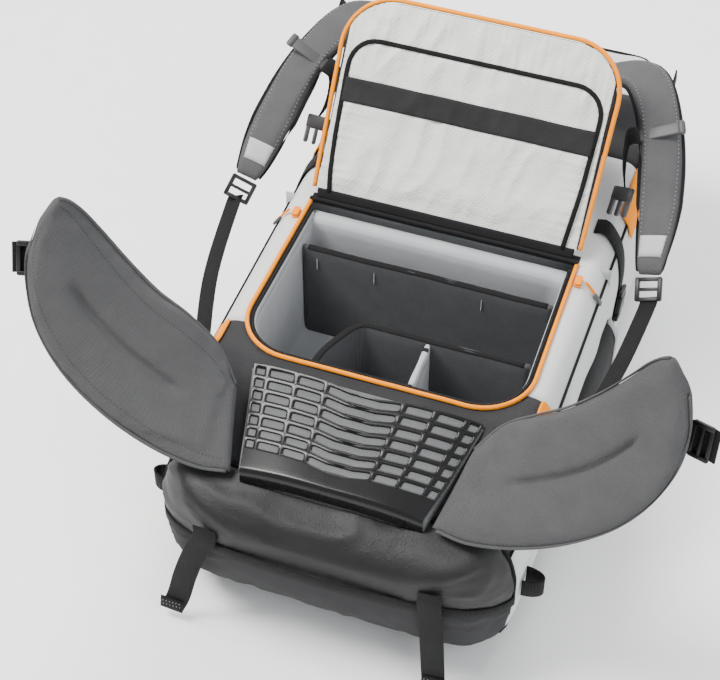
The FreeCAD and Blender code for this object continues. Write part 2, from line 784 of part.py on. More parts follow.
def make_sternum():
    """The sternum strap's two halves, each a clip, its hanging webbing and a buckle half."""
    centres = strap_line()
    start = centres[3]
    along = (centres[4] - centres[2]).normalize()
    across = (STRAP_HINTS[3] - along * STRAP_HINTS[3].dot(along)).normalize()
    if across.cross(along).z < 0:
        along = along * -1
    face = across.cross(along).normalize()
    thick = float(size["strap_thick"])
    turn = Rotation(across, along, face, "XYZ")
    clip = document.addObject("Part::Box", "sternum_clip")
    clip.Length = 58
    clip.Width = 14
    clip.Height = 5
    corner = start + face * (thick / 2 + 1.2) - across * 29 - along * 7
    clip.Placement = Placement(corner, turn)
    hook = start - across * 31 + face * (thick / 2 + 3.7)
    drop = [hook + Vector(-2, 0, 0), hook + Vector(-3, -6, -18), hook + Vector(0, -17, -34),
            hook + Vector(5, -28, -44)]
    web = webbing("sternum_web", drop, Vector(1, 0, 0), float(size["strap_web_width"]), float(size["web_thick"]))
    fall = Vector(-0.05, -0.8, -0.6).normalize()
    buckle = document.addObject("Part::Box", "sternum_buckle")
    buckle.Length = 34
    buckle.Width = 26
    buckle.Height = 7
    level = fall.cross(Vector(1, 0, 0)).normalize()
    buckle_turn = Rotation(fall, Vector(1, 0, 0), level * -1, "XYZ")
    buckle.Placement = Placement(drop[-1] - buckle_turn.multVec(Vector(0, 13, 3.5)), buckle_turn)
    right = together("sternum_set", [clip, web, buckle])
    keep(right, "sternum_strap_right")
    keep(mirrored(right, "sternum_left"), "sternum_strap_left")


def make_handle():
    """The haul handle: a webbing loop sewn to the back panel above the yoke."""
    base_y = size["hood_seam"] - 7.5
    span = 52
    rise = 20
    path = [vec(-span, base_y, deck + 2.0), vec(-span + 8, base_y, deck + 10), vec(-span + 24, base_y, deck + rise),
            vec(0, base_y, deck + rise + 4), vec(span - 24, base_y, deck + rise), vec(span - 8, base_y, deck + 10),
            vec(span, base_y, deck + 2.0)]
    widths = [3.0, 14.0, 14.0, 14.0, 14.0, 14.0, 3.0]
    edges = strip_edges(path, [Vector(0, 1, 0)] * len(path), widths)
    keep(loft("handle_web", edges, 3.0, band_wire, True), "haul_handle")


# ---- pockets, side straps, trims ----------------------------------------------------------------

def make_sides(outer):
    """Stretch side pockets, compression straps, accents, loops and tabs."""
    bulge = size["pocket_bulge"]
    thin = size["pocket_wall"]
    mouth_y = hinge_y - 5
    foot_y = mouth_y - size["pocket_length"]
    low_z = wall * 0 + 44
    high_z = low_z + size["pocket_height"]
    low = (half_width + 0.0, foot_y, low_z)
    high = (half_width + bulge, mouth_y, high_z)
    block = box("pocket_block", low, high)
    soft = rounded("pocket_soft", block, 12,
                   lambda middle, along: middle.x > float(half_width + bulge) - 0.1 and middle.y < float(mouth_y) - 0.1)
    room = box("pocket_room", (half_width - 1, foot_y + thin, low_z + thin),
               (half_width + bulge - thin, mouth_y + 1, high_z - thin))
    soft_room = rounded("pocket_soft_room", room, 12 - thin,
                        lambda middle, along: middle.x > float(half_width + bulge - thin) - 0.1
                        and middle.y < float(mouth_y) - 0.1)
    pocket = combine("Cut", "pocket_right", soft, soft_room)
    keep(pocket, "side_pocket_right")
    keep(mirrored(pocket, "pocket_left"), "side_pocket_left")

    strap_y = hinge_y + 62
    top = deck + 1.2
    path = [vec(half_width - 34, strap_y, top), vec(half_width - 21, strap_y, top),
            vec(half_width - 5.4, strap_y - 1, deck - 23.5), vec(half_width + 1.4, strap_y - 8, deck - 53),
            vec(half_width + 1.6, strap_y - 20, deck - 92), vec(half_width + 1.6, strap_y - 30, deck - 124)]
    strap = webbing("compression_web", path, Vector(0, 1, 0), float(size["strap_web_width"]), float(size["web_thick"]))
    keep(together("compression_pair", [strap, mirrored(strap, "compression_left")]), "compression_straps")
    lock = ladder_lock("compression_lock", 30, 26, 4)
    turn = Rotation(Vector(0, 0, -1), Vector(0, 1, 0), Vector(1, 0, 0), "XYZ")
    lock.Placement = Placement(vec(half_width + 4.9, strap_y - 17, deck - 84), turn)
    keep(together("compression_locks", [lock, mirrored(lock, "lock_left")]), "compression_buckles")

    cover = envelope("cover_form", wall * 0 - 1.8)
    sleeve = combine("Cut", "cover_sleeve", cover, outer)
    accent_box = box("accent_region", (wall * 0, hinge_y + 98, deck - 40), (size["pack_width"], hinge_y + 200, deck - 6))
    accent = combine("Common", "accent_right", sleeve, accent_box)
    keep(together("accent_pair", [accent, mirrored(accent, "accent_left")]), "side_accents")
    band_box = box("binding_region", (-size["pack_width"], base_end - 10, size["boot_seam"] - 16),
                   (size["pack_width"], base_seam, size["boot_seam"] - 2))
    keep(combine("Common", "binding_band", sleeve, band_box), "base_binding")

    tab = outline_pad("tab_cloth", "XY_Plane", [(0, 0), (22, 0), (22, 26), (11, 34), (0, 26)], 3)
    tab.Placement = Placement(vec(half_width - 16.2, near_y + 20, deck - 8.4), Rotation(Vector(0, 1, 0), 57))
    keep(together("tab_pair", [tab, mirrored(tab, "tab_left")]), "rim_tabs")

    loop = web_loop("axe_loop", 24.0, 12.0, 12.0, float(size["web_thick"]))
    loop.Placement = Placement(vec(half_width + 0.5, base_end + 82, size["boot_seam"] - 9), Rotation())
    keep(together("axe_loop_pair", [loop, mirrored(loop, "axe_loop_left")]), "axe_loops")


def make_base_straps():
    """The two webbing tails that hang from the base, for a tripod or a mat."""
    for side, hand in ((1, "right"), (-1, "left")):
        splay = 4 if side > 0 else 16
        top_x = half_width - 70
        face_y = base_end + 0.1
        top_z = slope_low_z - 30
        path = [vec(side * top_x, face_y + 1.0, top_z), vec(side * (top_x + splay * 0.4), face_y - 4, top_z - 36),
                vec(side * (top_x + splay * 1.2), face_y - 6, top_z - 76),
                vec(side * (top_x + splay * 2.1), face_y - 7, top_z - 118),
                vec(side * (top_x + splay * 2.6), face_y - 8, top_z - 141)]
        keep(webbing(f"base_tail_{hand}", path, Vector(1, 0, 0), 25.0, 2.4), f"base_strap_{hand}")


# ---- zip sliders, hood, dividers ----------------------------------------------------------------

def make_sliders():
    """The opening's two zip sliders with their pulls, and the hood's zip and slider."""
    outer_x = size["opening_width"] / 2 + 0.9
    slide_y = hinge_y - 32
    slider = box("slider_block", (outer_x, slide_y, deck + 0.3), (outer_x + 8, slide_y + 14, deck + 6))
    soft = rounded("slider_soft", slider, 1.5, lambda middle, along: middle.z > float(deck) + 5)
    keep(soft, "zip_slider_right")
    keep(mirrored(soft, "slider_left"), "zip_slider_left")
    pull = box("pull_cord", (wall * 0, wall * 0, wall * 0 - 1.5), (wall * 0 + 34, wall * 0 + 6, wall * 0 + 1.5))
    soft_pull = rounded("pull_soft", pull, 1.2, lambda middle, along: True)
    soft_pull.Placement = Placement(vec(outer_x + 11.4, slide_y + 4, deck + 5.2), Rotation(Vector(0, 1, 0), 56))
    keep(soft_pull, "zip_pull_right")
    keep(mirrored(soft_pull, "pull_left"), "zip_pull_left")

    hood_y = size["top_end"] - 54
    strip = box("hood_zip_strip", (wall * 0 - 92, hood_y, deck), (wall * 0 + 92, hood_y + 6, deck + 1.6))
    keep(strip, "hood_zip")
    block = box("hood_slider_block", (wall * 0 - 90, hood_y - 1, deck + 1.9), (wall * 0 - 76, hood_y + 7, deck + 6))
    keep(rounded("hood_slider_soft", block, 1.2, lambda middle, along: middle.z > float(deck) + 5), "hood_zip_slider")


def make_dividers():
    """Padded dividers: one long wall, one curved wall and one short wall."""
    thick = size["divider_thick"]
    inner_half = size["opening_width"] / 2 - hole_inset - gap - size["insert_wall"] - 0.5
    low = insert_floor + gap
    high = deck - size["divider_drop"]
    long_y = hinge_y - 56
    long_wall = box("long_wall", (-inner_half, long_y, low), (inner_half, long_y + thick, high))
    keep(long_wall, "divider_long")

    front = near_y + hole_inset + gap + size["insert_wall"] + 0.6
    hump_y = hinge_y - 142
    outer_side = [(wall * 0 - 74, front), (wall * 0 - 60, hump_y - 20), (wall * 0 - 42, hump_y + thick),
                  (inner_half, hump_y + thick)]
    inner_side = [(inner_half, hump_y), (wall * 0 - 36, hump_y), (wall * 0 - 52, hump_y - 22),
                  (wall * 0 - 65, front)]
    hump = outline_pad("hump_wall", "XY_Plane", inner_side + outer_side, high - low)
    keep(move_to(hump, z=low), "divider_hump")
    short = box("short_wall", (wall * 0 + 28, front, low), (wall * 0 + 35, hump_y - 0.6, high))
    keep(short, "divider_short")


def check_and_write():
    """Stop on any failed object or bad shape, then write one STEP file for each sub-part."""
    document.recompute()
    for item in document.Objects:
        if "Invalid" in item.State or "Error" in item.State:
            raise RuntimeError(f"{item.Name} failed: {item.State}")
    labels = [node.Label for node in nodes]
    if len(set(labels)) != len(labels):
        raise RuntimeError("two sub-parts share a label")
    os.makedirs("parts", exist_ok=True)
    for node in nodes:
        shape = node.Shape
        if shape.isNull() or not shape.isValid() or not shape.Solids:
            raise RuntimeError(f"{node.Label} has no valid solid")
        shape.exportStep(f"parts/{node.Label}.step")
        print(f"{node.Label}: {len(shape.Solids)} solid(s), {shape.Volume / 1000:.1f} cm3")


outer_form, inner_form = make_shell()
make_wall_and_insert(inner_form)
make_rim()
make_frame(inner_form)
make_lid()
make_lumbar()
make_wings()
make_harness()
make_sternum()
make_handle()
make_sides(outer_form)
make_base_straps()
make_sliders()
make_dividers()
check_and_write()
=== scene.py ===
import json
import math

import bmesh
import bpy
import numpy as np
from mathutils import Matrix, Vector, noise
from mathutils.bvhtree import BVHTree


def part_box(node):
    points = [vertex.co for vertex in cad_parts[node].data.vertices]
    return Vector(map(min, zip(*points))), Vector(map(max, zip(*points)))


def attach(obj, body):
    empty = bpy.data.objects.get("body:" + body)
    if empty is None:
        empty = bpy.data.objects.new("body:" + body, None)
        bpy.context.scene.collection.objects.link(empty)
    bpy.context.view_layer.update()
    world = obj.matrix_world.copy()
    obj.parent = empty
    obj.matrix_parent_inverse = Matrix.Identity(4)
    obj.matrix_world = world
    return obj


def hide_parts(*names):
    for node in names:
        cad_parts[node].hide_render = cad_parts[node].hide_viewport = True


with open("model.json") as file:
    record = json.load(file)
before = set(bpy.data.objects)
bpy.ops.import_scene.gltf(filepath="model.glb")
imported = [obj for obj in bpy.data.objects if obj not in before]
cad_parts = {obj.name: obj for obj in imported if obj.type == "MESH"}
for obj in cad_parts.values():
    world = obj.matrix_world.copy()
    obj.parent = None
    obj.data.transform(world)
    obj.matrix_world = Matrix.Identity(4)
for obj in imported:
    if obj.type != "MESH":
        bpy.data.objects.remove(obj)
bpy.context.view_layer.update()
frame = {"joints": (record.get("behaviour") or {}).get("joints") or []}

# ---- Fabric shell ----------------------------------------------------------------------------
# The pack's sewn outer shell: a boxy bag lying on its front panel, cut from light ripstop, dark
# cordura and a coated base boot. Panels are one smooth form, divided along the real seams.


def cad_mm(node, corner, axis):
    """One side of a CAD node's box, in millimetres."""
    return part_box(node)[corner][axis] * 1000


deck = cad_mm("harness_yoke", 0, 2)
half_width = cad_mm("side_panel_right", 1, 0)
base_end = cad_mm("base_boot", 0, 1)
base_seam = cad_mm("base_boot", 1, 1)
hood_seam = cad_mm("top_hood", 0, 1)
top_end = cad_mm("top_hood", 1, 1)
near_y = cad_mm("rim_piping", 0, 1)
joints = {joint["name"]: joint for joint in frame["joints"]}
hinge = np.array(joints["lid_hinge"]["pos_m"]) * 1000
slope_high_y = near_y - 12
slope_high_z = deck - 6
slope_low_y = slope_high_y - 106
slope_low_z = slope_high_z - 48


def unit(vector):
    vector = np.asarray(vector, float)
    return vector / max(np.linalg.norm(vector), 1e-9)


def ripple(point, size, seed):
    """Smooth noise from -1 to 1 whose bumps are about the given size."""
    return noise.noise(Vector([float(value) / size for value in point]) + Vector((seed * 7.3, seed * 3.1,
                                                                                  seed)))


def weave_group():
    """Threads over and under, with the cloth's uneven tone and its soft creases."""
    tree = bpy.data.node_groups.new("Weave", "ShaderNodeTree")
    for name, value in (("Threads", 3000.0), ("Mottle", 40.0), ("Crease", 0.5)):
        socket = tree.interface.new_socket(name=name, in_out="INPUT", socket_type="NodeSocketFloat")
        socket.default_value = value
    for name in ("Tone", "Height"):
        tree.interface.new_socket(name=name, in_out="OUTPUT", socket_type="NodeSocketFloat")
    nodes, links = tree.nodes, tree.links
    inside, outside = nodes.new("NodeGroupInput"), nodes.new("NodeGroupOutput")
    place = nodes.new("ShaderNodeTexCoord").outputs["Object"]
    scaled = nodes.new("ShaderNodeVectorMath")
    scaled.operation = "SCALE"
    links.new(place, scaled.inputs[0])
    links.new(inside.outputs["Threads"], scaled.inputs["Scale"])
    parts = nodes.new("ShaderNodeSeparateXYZ")
    links.new(scaled.outputs[0], parts.inputs[0])

    def math_node(kind, first, second=None):
        node = nodes.new("ShaderNodeMath")
        node.operation = kind
        for index, value in enumerate((first, second)):
            if isinstance(value, (int, float)):
                node.inputs[index].default_value = value
            elif value is not None:
                links.new(value, node.inputs[index])
        return node.outputs[0]

    waves = [math_node("SINE", parts.outputs[axis]) for axis in range(3)]
    pairs = [math_node("MULTIPLY", waves[axis], waves[(axis + 1) % 3]) for axis in range(3)]
    threads = math_node("ADD", math_node("ADD", pairs[0], pairs[1]), pairs[2])

    def cloud(scale, detail):
        node = nodes.new("ShaderNodeTexNoise")
        node.inputs["Detail"].default_value = detail
        links.new(place, node.inputs["Vector"])
        if isinstance(scale, (int, float)):
            node.inputs["Scale"].default_value = scale
        else:
            links.new(scale, node.inputs["Scale"])
        return node.outputs["Fac"]

    mottle = cloud(inside.outputs["Mottle"], 4.0)
    fibre = cloud(1400.0, 2.0)
    tone = math_node("ADD", math_node("MULTIPLY", mottle, 0.35), math_node("MULTIPLY", fibre, 0.65))
    links.new(math_node("ADD", tone, math_node("MULTIPLY", threads, 0.05)), outside.inputs["Tone"])
    crease = math_node("MULTIPLY", cloud(70.0, 3.0), inside.outputs["Crease"])
    links.new(math_node("ADD", math_node("MULTIPLY", threads, 0.12), crease), outside.inputs["Height"])
    return tree


weave = weave_group()


def cloth(name, colour, roughness=0.85, thread=1.3, mottle=40.0, crease=0.6, bump=0.5, contrast=0.2,
          sheen=0.02):
    """A woven or knitted cloth: thread is its thread spacing in millimetres."""
    material = bpy.data.materials.new(name)
    material.use_nodes = True
    nodes, links = material.node_tree.nodes, material.node_tree.links
    shader = nodes["Principled BSDF"]
    pattern = nodes.new("ShaderNodeGroup")
    pattern.node_tree = weave
    pattern.inputs["Threads"].default_value = 2 * math.pi / (thread / 1000)
    pattern.inputs["Mottle"].default_value = mottle
    pattern.inputs["Crease"].default_value = crease
    ramp = nodes.new("ShaderNodeValToRGB")
    ramp.color_ramp.elements[0].position = 0.25
    ramp.color_ramp.elements[1].position = 0.75
    ramp.color_ramp.elements[0].color = [value * (1 - contrast) for value in colour] + [1]
    ramp.color_ramp.elements[1].color = [min(1, value * (1 + contrast)) for value in colour] + [1]
    links.new(pattern.outputs["Tone"], ramp.inputs["Fac"])
    links.new(ramp.outputs["Color"], shader.inputs["Base Color"])
    relief = nodes.new("ShaderNodeBump")
    relief.inputs["Distance"].default_value = 0.0012
    relief.inputs["Strength"].default_value = bump
    links.new(pattern.outputs["Height"], relief.inputs["Height"])
    links.new(relief.outputs["Normal"], shader.inputs["Normal"])
    shader.inputs["Roughness"].default_value = roughness
    shader.inputs["Sheen Weight"].default_value = sheen
    shader.inputs["Specular IOR Level"].default_value = 0.15
    return material


def grain_group():
    """Moulded or coated skin: raised dots and fine grain."""
    tree = bpy.data.node_groups.new("Grain", "ShaderNodeTree")
    for name, value in (("Dots", 300.0), ("Fine", 1500.0), ("Dot Height", 0.6)):
        socket = tree.interface.new_socket(name=name, in_out="INPUT", socket_type="NodeSocketFloat")
        socket.default_value = value
    for name in ("Tone", "Height"):
        tree.interface.new_socket(name=name, in_out="OUTPUT", socket_type="NodeSocketFloat")
    nodes, links = tree.nodes, tree.links
    inside, outside = nodes.new("NodeGroupInput"), nodes.new("NodeGroupOutput")
    place = nodes.new("ShaderNodeTexCoord").outputs["Object"]
    dots = nodes.new("ShaderNodeTexVoronoi")
    links.new(place, dots.inputs["Vector"])
    links.new(inside.outputs["Dots"], dots.inputs["Scale"])
    fine = nodes.new("ShaderNodeTexNoise")
    fine.inputs["Detail"].default_value = 3.0
    links.new(place, fine.inputs["Vector"])
    links.new(inside.outputs["Fine"], fine.inputs["Scale"])
    raised = nodes.new("ShaderNodeMapRange")
    raised.inputs["From Min"].default_value = 0.1
    raised.inputs["From Max"].default_value = 0.35
    raised.inputs["To Min"].default_value = 1.0
    raised.inputs["To Max"].default_value = 0.0
    links.new(dots.outputs["Distance"], raised.inputs["Value"])
    lifted = nodes.new("ShaderNodeMath")
    lifted.operation = "MULTIPLY"
    links.new(raised.outputs[0], lifted.inputs[0])
    links.new(inside.outputs["Dot Height"], lifted.inputs[1])
    total = nodes.new("ShaderNodeMath")
    total.operation = "ADD"
    links.new(lifted.outputs[0], total.inputs[0])
    links.new(fine.outputs["Fac"], total.inputs[1])
    links.new(total.outputs[0], outside.inputs["Height"])
    wide = nodes.new("ShaderNodeTexNoise")
    wide.inputs["Scale"].default_value = 25.0
    wide.inputs["Detail"].default_value = 4.0
    links.new(place, wide.inputs["Vector"])
    links.new(wide.outputs["Fac"], outside.inputs["Tone"])
    return tree


grain = grain_group()


def moulded(name, colour, roughness=0.45, dots=300.0, fine=1500.0, dot_height=0.0, bump=0.15, contrast=0.2,
            coat=0.0, shine=0.3):
    """Plastic, rubber or coated cloth: dots is how many raised dots there are in a metre."""
    material = bpy.data.materials.new(name)
    material.use_nodes = True
    nodes, links = material.node_tree.nodes, material.node_tree.links
    shader = nodes["Principled BSDF"]
    pattern = nodes.new("ShaderNodeGroup")
    pattern.node_tree = grain
    pattern.inputs["Dots"].default_value = dots
    pattern.inputs["Fine"].default_value = fine
    pattern.inputs["Dot Height"].default_value = dot_height
    ramp = nodes.new("ShaderNodeValToRGB")
    ramp.color_ramp.elements[0].position = 0.3
    ramp.color_ramp.elements[1].position = 0.7
    ramp.color_ramp.elements[0].color = [value * (1 - contrast) for value in colour] + [1]
    ramp.color_ramp.elements[1].color = [min(1, value * (1 + contrast)) for value in colour] + [1]
    links.new(pattern.outputs["Tone"], ramp.inputs["Fac"])
    links.new(ramp.outputs["Color"], shader.inputs["Base Color"])
    rough = nodes.new("ShaderNodeMapRange")
    rough.inputs["To Min"].default_value = roughness * 0.8
    rough.inputs["To Max"].default_value = min(1, roughness * 1.25)
    links.new(pattern.outputs["Tone"], rough.inputs["Value"])
    links.new(rough.outputs[0], shader.inputs["Roughness"])
    relief = nodes.new("ShaderNodeBump")
    relief.inputs["Distance"].default_value = 0.0006
    relief.inputs["Strength"].default_value = bump
    links.new(pattern.outputs["Height"], relief.inputs["Height"])
    links.new(relief.outputs["Normal"], shader.inputs["Normal"])
    shader.inputs["Coat Weight"].default_value = coat
    shader.inputs["Specular IOR Level"].default_value = shine
    return material


def piece(name, points, faces, body, material, slot, *nodes, level=0):
    """A finished mesh piece that rides on a body and stands for CAD nodes; points in millimetres."""
    mesh = bpy.data.meshes.new(name)
    mesh.from_pydata([tuple(float(value) / 1000 for value in point) for point in points], [], faces)
    built = bmesh.new()
    built.from_mesh(mesh)
    bmesh.ops.remove_doubles(built, verts=built.verts, dist=0.00002)
    bmesh.ops.recalc_face_normals(built, faces=built.faces)
    built.to_mesh(mesh)
    built.free()
    for face in mesh.polygons:
        face.use_smooth = True
    mesh.materials.append(material)
    thing = bpy.data.objects.new(name, mesh)
    bpy.context.scene.collection.objects.link(thing)
    if level:
        finer = thing.modifiers.new("Finer", "SUBSURF")
        finer.levels = finer.render_levels = level
    if body:
        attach(thing, body)
    if nodes:
        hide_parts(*nodes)
    return thing


def thicken(thing, thickness, inward=True):
    """Gives an open sheet its real thickness in millimetres."""
    wall = thing.modifiers.new("Thickness", "SOLIDIFY")
    wall.thickness = thickness / 1000
    wall.offset = -1 if inward else 1
    return thing


FORM = [
    (base_end, half_width - 93, 100, slope_low_z - 24, 0.30),
    (base_end + 8, half_width - 57, 74, slope_low_z - 12, 0.50),
    (base_end + 22, half_width - 26, 49, slope_low_z - 4, 0.80),
    (base_end + 46, half_width - 6, 22, slope_low_z + 1, 1.0),
    (base_end + 72, half_width, 0, slope_low_z + 12, 1.0),
    (slope_high_y, half_width, 0, slope_high_z, 1.0),
    (near_y, half_width, 0, deck, 1.0),
    (top_end - 68, half_width, 0, deck, 1.0),
    (top_end - 34, half_width - 9, 6, deck, 0.95),
    (top_end - 10, half_width - 26, 22, deck - 1, 0.85),
    (top_end, half_width - 52, 48, deck - 9, 0.6),
]
SIDE_STEPS = (8, 10, 28, 9, 9)
FLOOR_STEPS = 30
DECK_STEPS = 60


def form_at(place):
    """Half width, underside, top and corner size of the form at a place along Y."""
    places = [row[0] for row in FORM]
    return [np.interp(place, places, [row[column] for row in FORM]) for column in (1, 2, 3, 4)]


def form_ring(place):
    """One cut across the form, from the middle of the floor round the right side and back."""
    half, low, high, corner = form_at(place)
    side = [(half - 34 * corner, low), (half - 8 * corner, low + 28 * corner), (half, low + 70 * corner),
            (half, high - 53 * corner), (half - 7 * corner, high - 24 * corner), (half - 22 * corner, high)]
    right = []
    for start, end, steps in zip(side, side[1:], SIDE_STEPS):
        right += [(start[0] + (end[0] - start[0]) * k / steps, start[1] + (end[1] - start[1]) * k / steps)
                  for k in range(steps)]
    right.append(side[-1])
    left = [(-x, z) for x, z in reversed(right)]
    top = [(side[-1][0] * (1 - 2 * k / DECK_STEPS), high) for k in range(1, DECK_STEPS)]
    floor = [(side[0][0] * (-1 + 2 * k / FLOOR_STEPS), low) for k in range(1, FLOOR_STEPS)]
    return [(x, place, z) for x, z in right + top + left + floor]


def spaced(start, end, step):
    count = max(2, int(round(abs(end - start) / step)) + 1)
    return list(np.linspace(start, end, count))


places = (spaced(base_end, base_seam, 5.5)[:-1] + spaced(base_seam, near_y, 7)[:-1] + spaced(near_y,
        hood_seam, 9)[:-1]
          + spaced(hood_seam, top_end, 5))
seam_row = places.index(base_seam)
hood_row = places.index(hood_seam)
form = np.array([form_ring(place) for place in places])
for _ in range(10):
    form = form * 0.5 + (np.roll(form, 1, axis=1) + np.roll(form, -1, axis=1)) * 0.25
for _ in range(3):
    inner = form[:-2] * 0.25 + form[1:-1] * 0.5 + form[2:] * 0.25
    form[1:-1, :, 0] = inner[:, :, 0]
    form[1:-1, :, 2] = inner[:, :, 2]
around = form.shape[1]
back_seam = sum(SIDE_STEPS[:4])
front_seam = SIDE_STEPS[0]
boot_seam = sum(SIDE_STEPS[:2]) + 10
last_back = sum(SIDE_STEPS) + DECK_STEPS + SIDE_STEPS[4]
last_boot = last_back + (back_seam - boot_seam)
last_side = last_back + (back_seam - front_seam)


def form_normals():
    along = np.gradient(form, axis=0)
    across = np.roll(form, -1, axis=1) - np.roll(form, 1, axis=1)
    normals = np.cross(across, along)
    return normals / np.maximum(np.linalg.norm(normals, axis=2, keepdims=True), 1e-9)


outward = form_normals()
if (outward[len(places) // 2, 0] * np.array([0, 0, 1])).sum() > 0:
    outward = -outward


def panel(name, rows, columns, body, material, slot, puff, close_end=0):
    """A panel of the shell between two rows and two columns, pushed out by its own puff rule."""
    picked = [column % around for column in range(columns[0], columns[1] + 1)]
    count = len(picked)
    points = []
    for row in range(rows[0], rows[1] + 1):
        for step, column in enumerate(picked):
            point = form[row, column]
            share = (row - rows[0]) / (rows[1] - rows[0]), step / (count - 1)
            points.append(point + outward[row, column] * puff(point, share))
    faces = []
    for row in range(rows[1] - rows[0]):
        for step in range(count - 1):
            corner = row * count + step
            faces.append((corner, corner + 1, corner + count + 1, corner + count))
    if close_end:
        start = 0 if close_end < 0 else (rows[1] - rows[0]) * count
        faces.append([start + step for step in range(count)])
    return piece(name, points, faces, body, material, slot)


def edge_fade(share, width=0.06):
    """Zero at a panel's seams and one inside it, so that each panel puffs between its seams."""
    nearest = min(share[0], 1 - share[0], share[1], 1 - share[1])
    return min(1.0, nearest / width)


light_shell = cloth("light_ripstop", (0.62, 0.625, 0.62), thread=1.0, crease=1.0, bump=0.5, contrast=0.05)
dark_shell = cloth("dark_cordura", (0.034, 0.034, 0.036), thread=1.6, crease=0.8, bump=0.8, contrast=0.3)
tarpaulin = moulded("coated_boot", (0.0075, 0.0075, 0.008), roughness=0.5, dots=260, dot_height=0.6,
                    bump=0.4, contrast=0.1, shine=0.32)


def side_puff(point, share):
    return edge_fade(share) * (1.5 + 2.2 * ripple(point, 90, 1) + 1.1 * ripple(point, 35, 2))


def deck_puff(point, share):
    return edge_fade(share) * (0.3 + 0.7 * ripple(point, 60, 3))


def boot_puff(point, share):
    warped = (point[0] * 0.7 + 22 * ripple(point, 60, 4), point[1] * 1.5 + 14 * ripple(point, 44, 33),
              point[2] * 1.5)
    ridge = 1 - min(1.0, abs(ripple(warped, 52, 5)) * 3.4)
    crease = 1 - min(1.0, abs(ripple(warped, 25, 6)) * 3.0)
    sag = 4.2 * ridge ** 1.2 * (0.6 + 0.6 * ripple(point, 90, 31)) + 0.5 * crease + 3.0 * ripple(point, 80,
                                                                                                 7) + 1.5
    return edge_fade(share, 0.10) * sag


def base_puff(point, share):
    crease = 1 - min(1.0, abs(ripple((point[0], point[1] * 2, point[2] * 2), 42, 8)) * 3.2)
    return edge_fade(share, 0.1) * (1.5 + 2.2 * ripple(point, 55, 7) + 2.4 * crease)


def hood_puff(point, share):
    flat = 0.15 if point[2] > deck - 8 and abs(point[1] - top_end + 51) < 12 else 1.0
    return flat * min(1.0, share[0] / 0.3) * (2.2 + 2.2 * ripple(point, 60, 9) + 1.4 * ripple(point, 24, 10))


last_row = len(places) - 1
side_args = (seam_row, hood_row)
for hand, columns in (("right", (front_seam, back_seam)), ("left", (last_back, last_side))):
    side_cloth = panel(f"side_panel_{hand}_cloth", side_args, columns, "pack", light_shell, "shell_light",
                       side_puff)
    thicken(side_cloth, 2.4)
    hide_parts(f"side_panel_{hand}")
front = thicken(panel("front_panel_cloth", side_args, (last_side, around + front_seam), "pack", dark_shell,
                      "cordura_grey", lambda point, share: 0.0), 2.2)
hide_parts("front_panel")
boot = thicken(panel("base_boot_skin", (0, seam_row), (boot_seam, last_boot), "pack", tarpaulin, "tarpaulin",
                     boot_puff, close_end=-1), 2.4)
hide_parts("base_boot")
base = thicken(panel("base_panel_cloth", (0, seam_row), (last_boot, around + boot_seam), "pack", dark_shell,
                     "cordura_grey", base_puff, close_end=-1), 2.4)
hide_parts("base_panel")
hood = thicken(panel("top_hood_cloth", (hood_row, last_row), (0, around), "hood", light_shell, "shell_light",
                     hood_puff, close_end=1), 2.4)
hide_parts("top_hood")

# ---- Back panel and its opening --------------------------------------------------------------
# The panel that lies against the wearer's back, with a big rounded opening. Its near end is dark
# cordura, and the rest is light ripstop. The opening is cut clean and bound under the rim.

rim_radius = 58
corner_x = 95
corner_y = near_y + rim_radius
hinge_half = 150


def rim_path(inset, stop=0.0):
    """The opening's edge as an open U, from the hinge's right end round the near side to its left."""
    radius = rim_radius - inset
    right = [(hinge_half - inset + 3 * k / 12, hinge[1] - stop + (corner_y - hinge[1] + stop) * k / 12)
             for k in range(12)]
    right += [(corner_x + radius * math.cos(turn), corner_y + radius * math.sin(turn))
              for turn in np.linspace(0, -math.pi / 2, 12)]
    near = [(corner_x * (1 - 2 * k / 18), near_y + inset) for k in range(1, 18)]
    return right + near + [(-x, y) for x, y in reversed(right)]


def rim_loop(inset, stop=0.0):
    """The opening's edge as a closed loop, back along the hinge."""
    path = rim_path(inset, stop)
    end, start = path[-1], path[0]
    return path + [(end[0] + (start[0] - end[0]) * k / 16, end[1]) for k in range(1, 16)]


def cut_opening(thing):
    """Cuts the opening out of a deck panel and leaves a plain mesh."""
    outline = rim_loop(2.5, -2)
    count = len(outline)
    points = [(x, y, deck - 40) for x, y in outline] + [(x, y, deck + 40) for x, y in outline]
    faces = [(k, (k + 1) % count, count + (k + 1) % count, count + k) for k in range(count)]
    faces += [list(range(count))[::-1], list(range(count, 2 * count))]
    cutter = piece("opening_cutter", points, faces, None, light_shell, "shell_light")
    cut = thing.modifiers.new("Opening", "BOOLEAN")
    cut.object = cutter
    cut.solver = "EXACT"
    bpy.context.view_layer.update()
    solid = bpy.data.meshes.new_from_object(thing.evaluated_get(bpy.context.evaluated_depsgraph_get()))
    thing.modifiers.clear()
    thing.data = solid
    bpy.data.objects.remove(cutter)
    return thing


def deck_part(name, rows, material, slot, body="pack"):
    part = panel(name, rows, (back_seam, last_back), None, material, slot, deck_puff)
    thicken(part, 2.4)
    cut_opening(part)
    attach(part, body)
    return part


dark_row = min(range(len(places)), key=lambda row: abs(places[row] - (near_y + 40)))
upper_row = min(range(len(places)), key=lambda row: abs(places[row] - (hood_seam - 112)))
deck_far = deck_part("back_panel_cloth", (dark_row, upper_row), light_shell, "shell_light")
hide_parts("back_panel")
deck_part("back_panel_upper_cloth", (upper_row, hood_row), dark_shell, "cordura_grey")
deck_part("back_panel_near_cloth", (seam_row, dark_row), dark_shell, "cordura_grey")

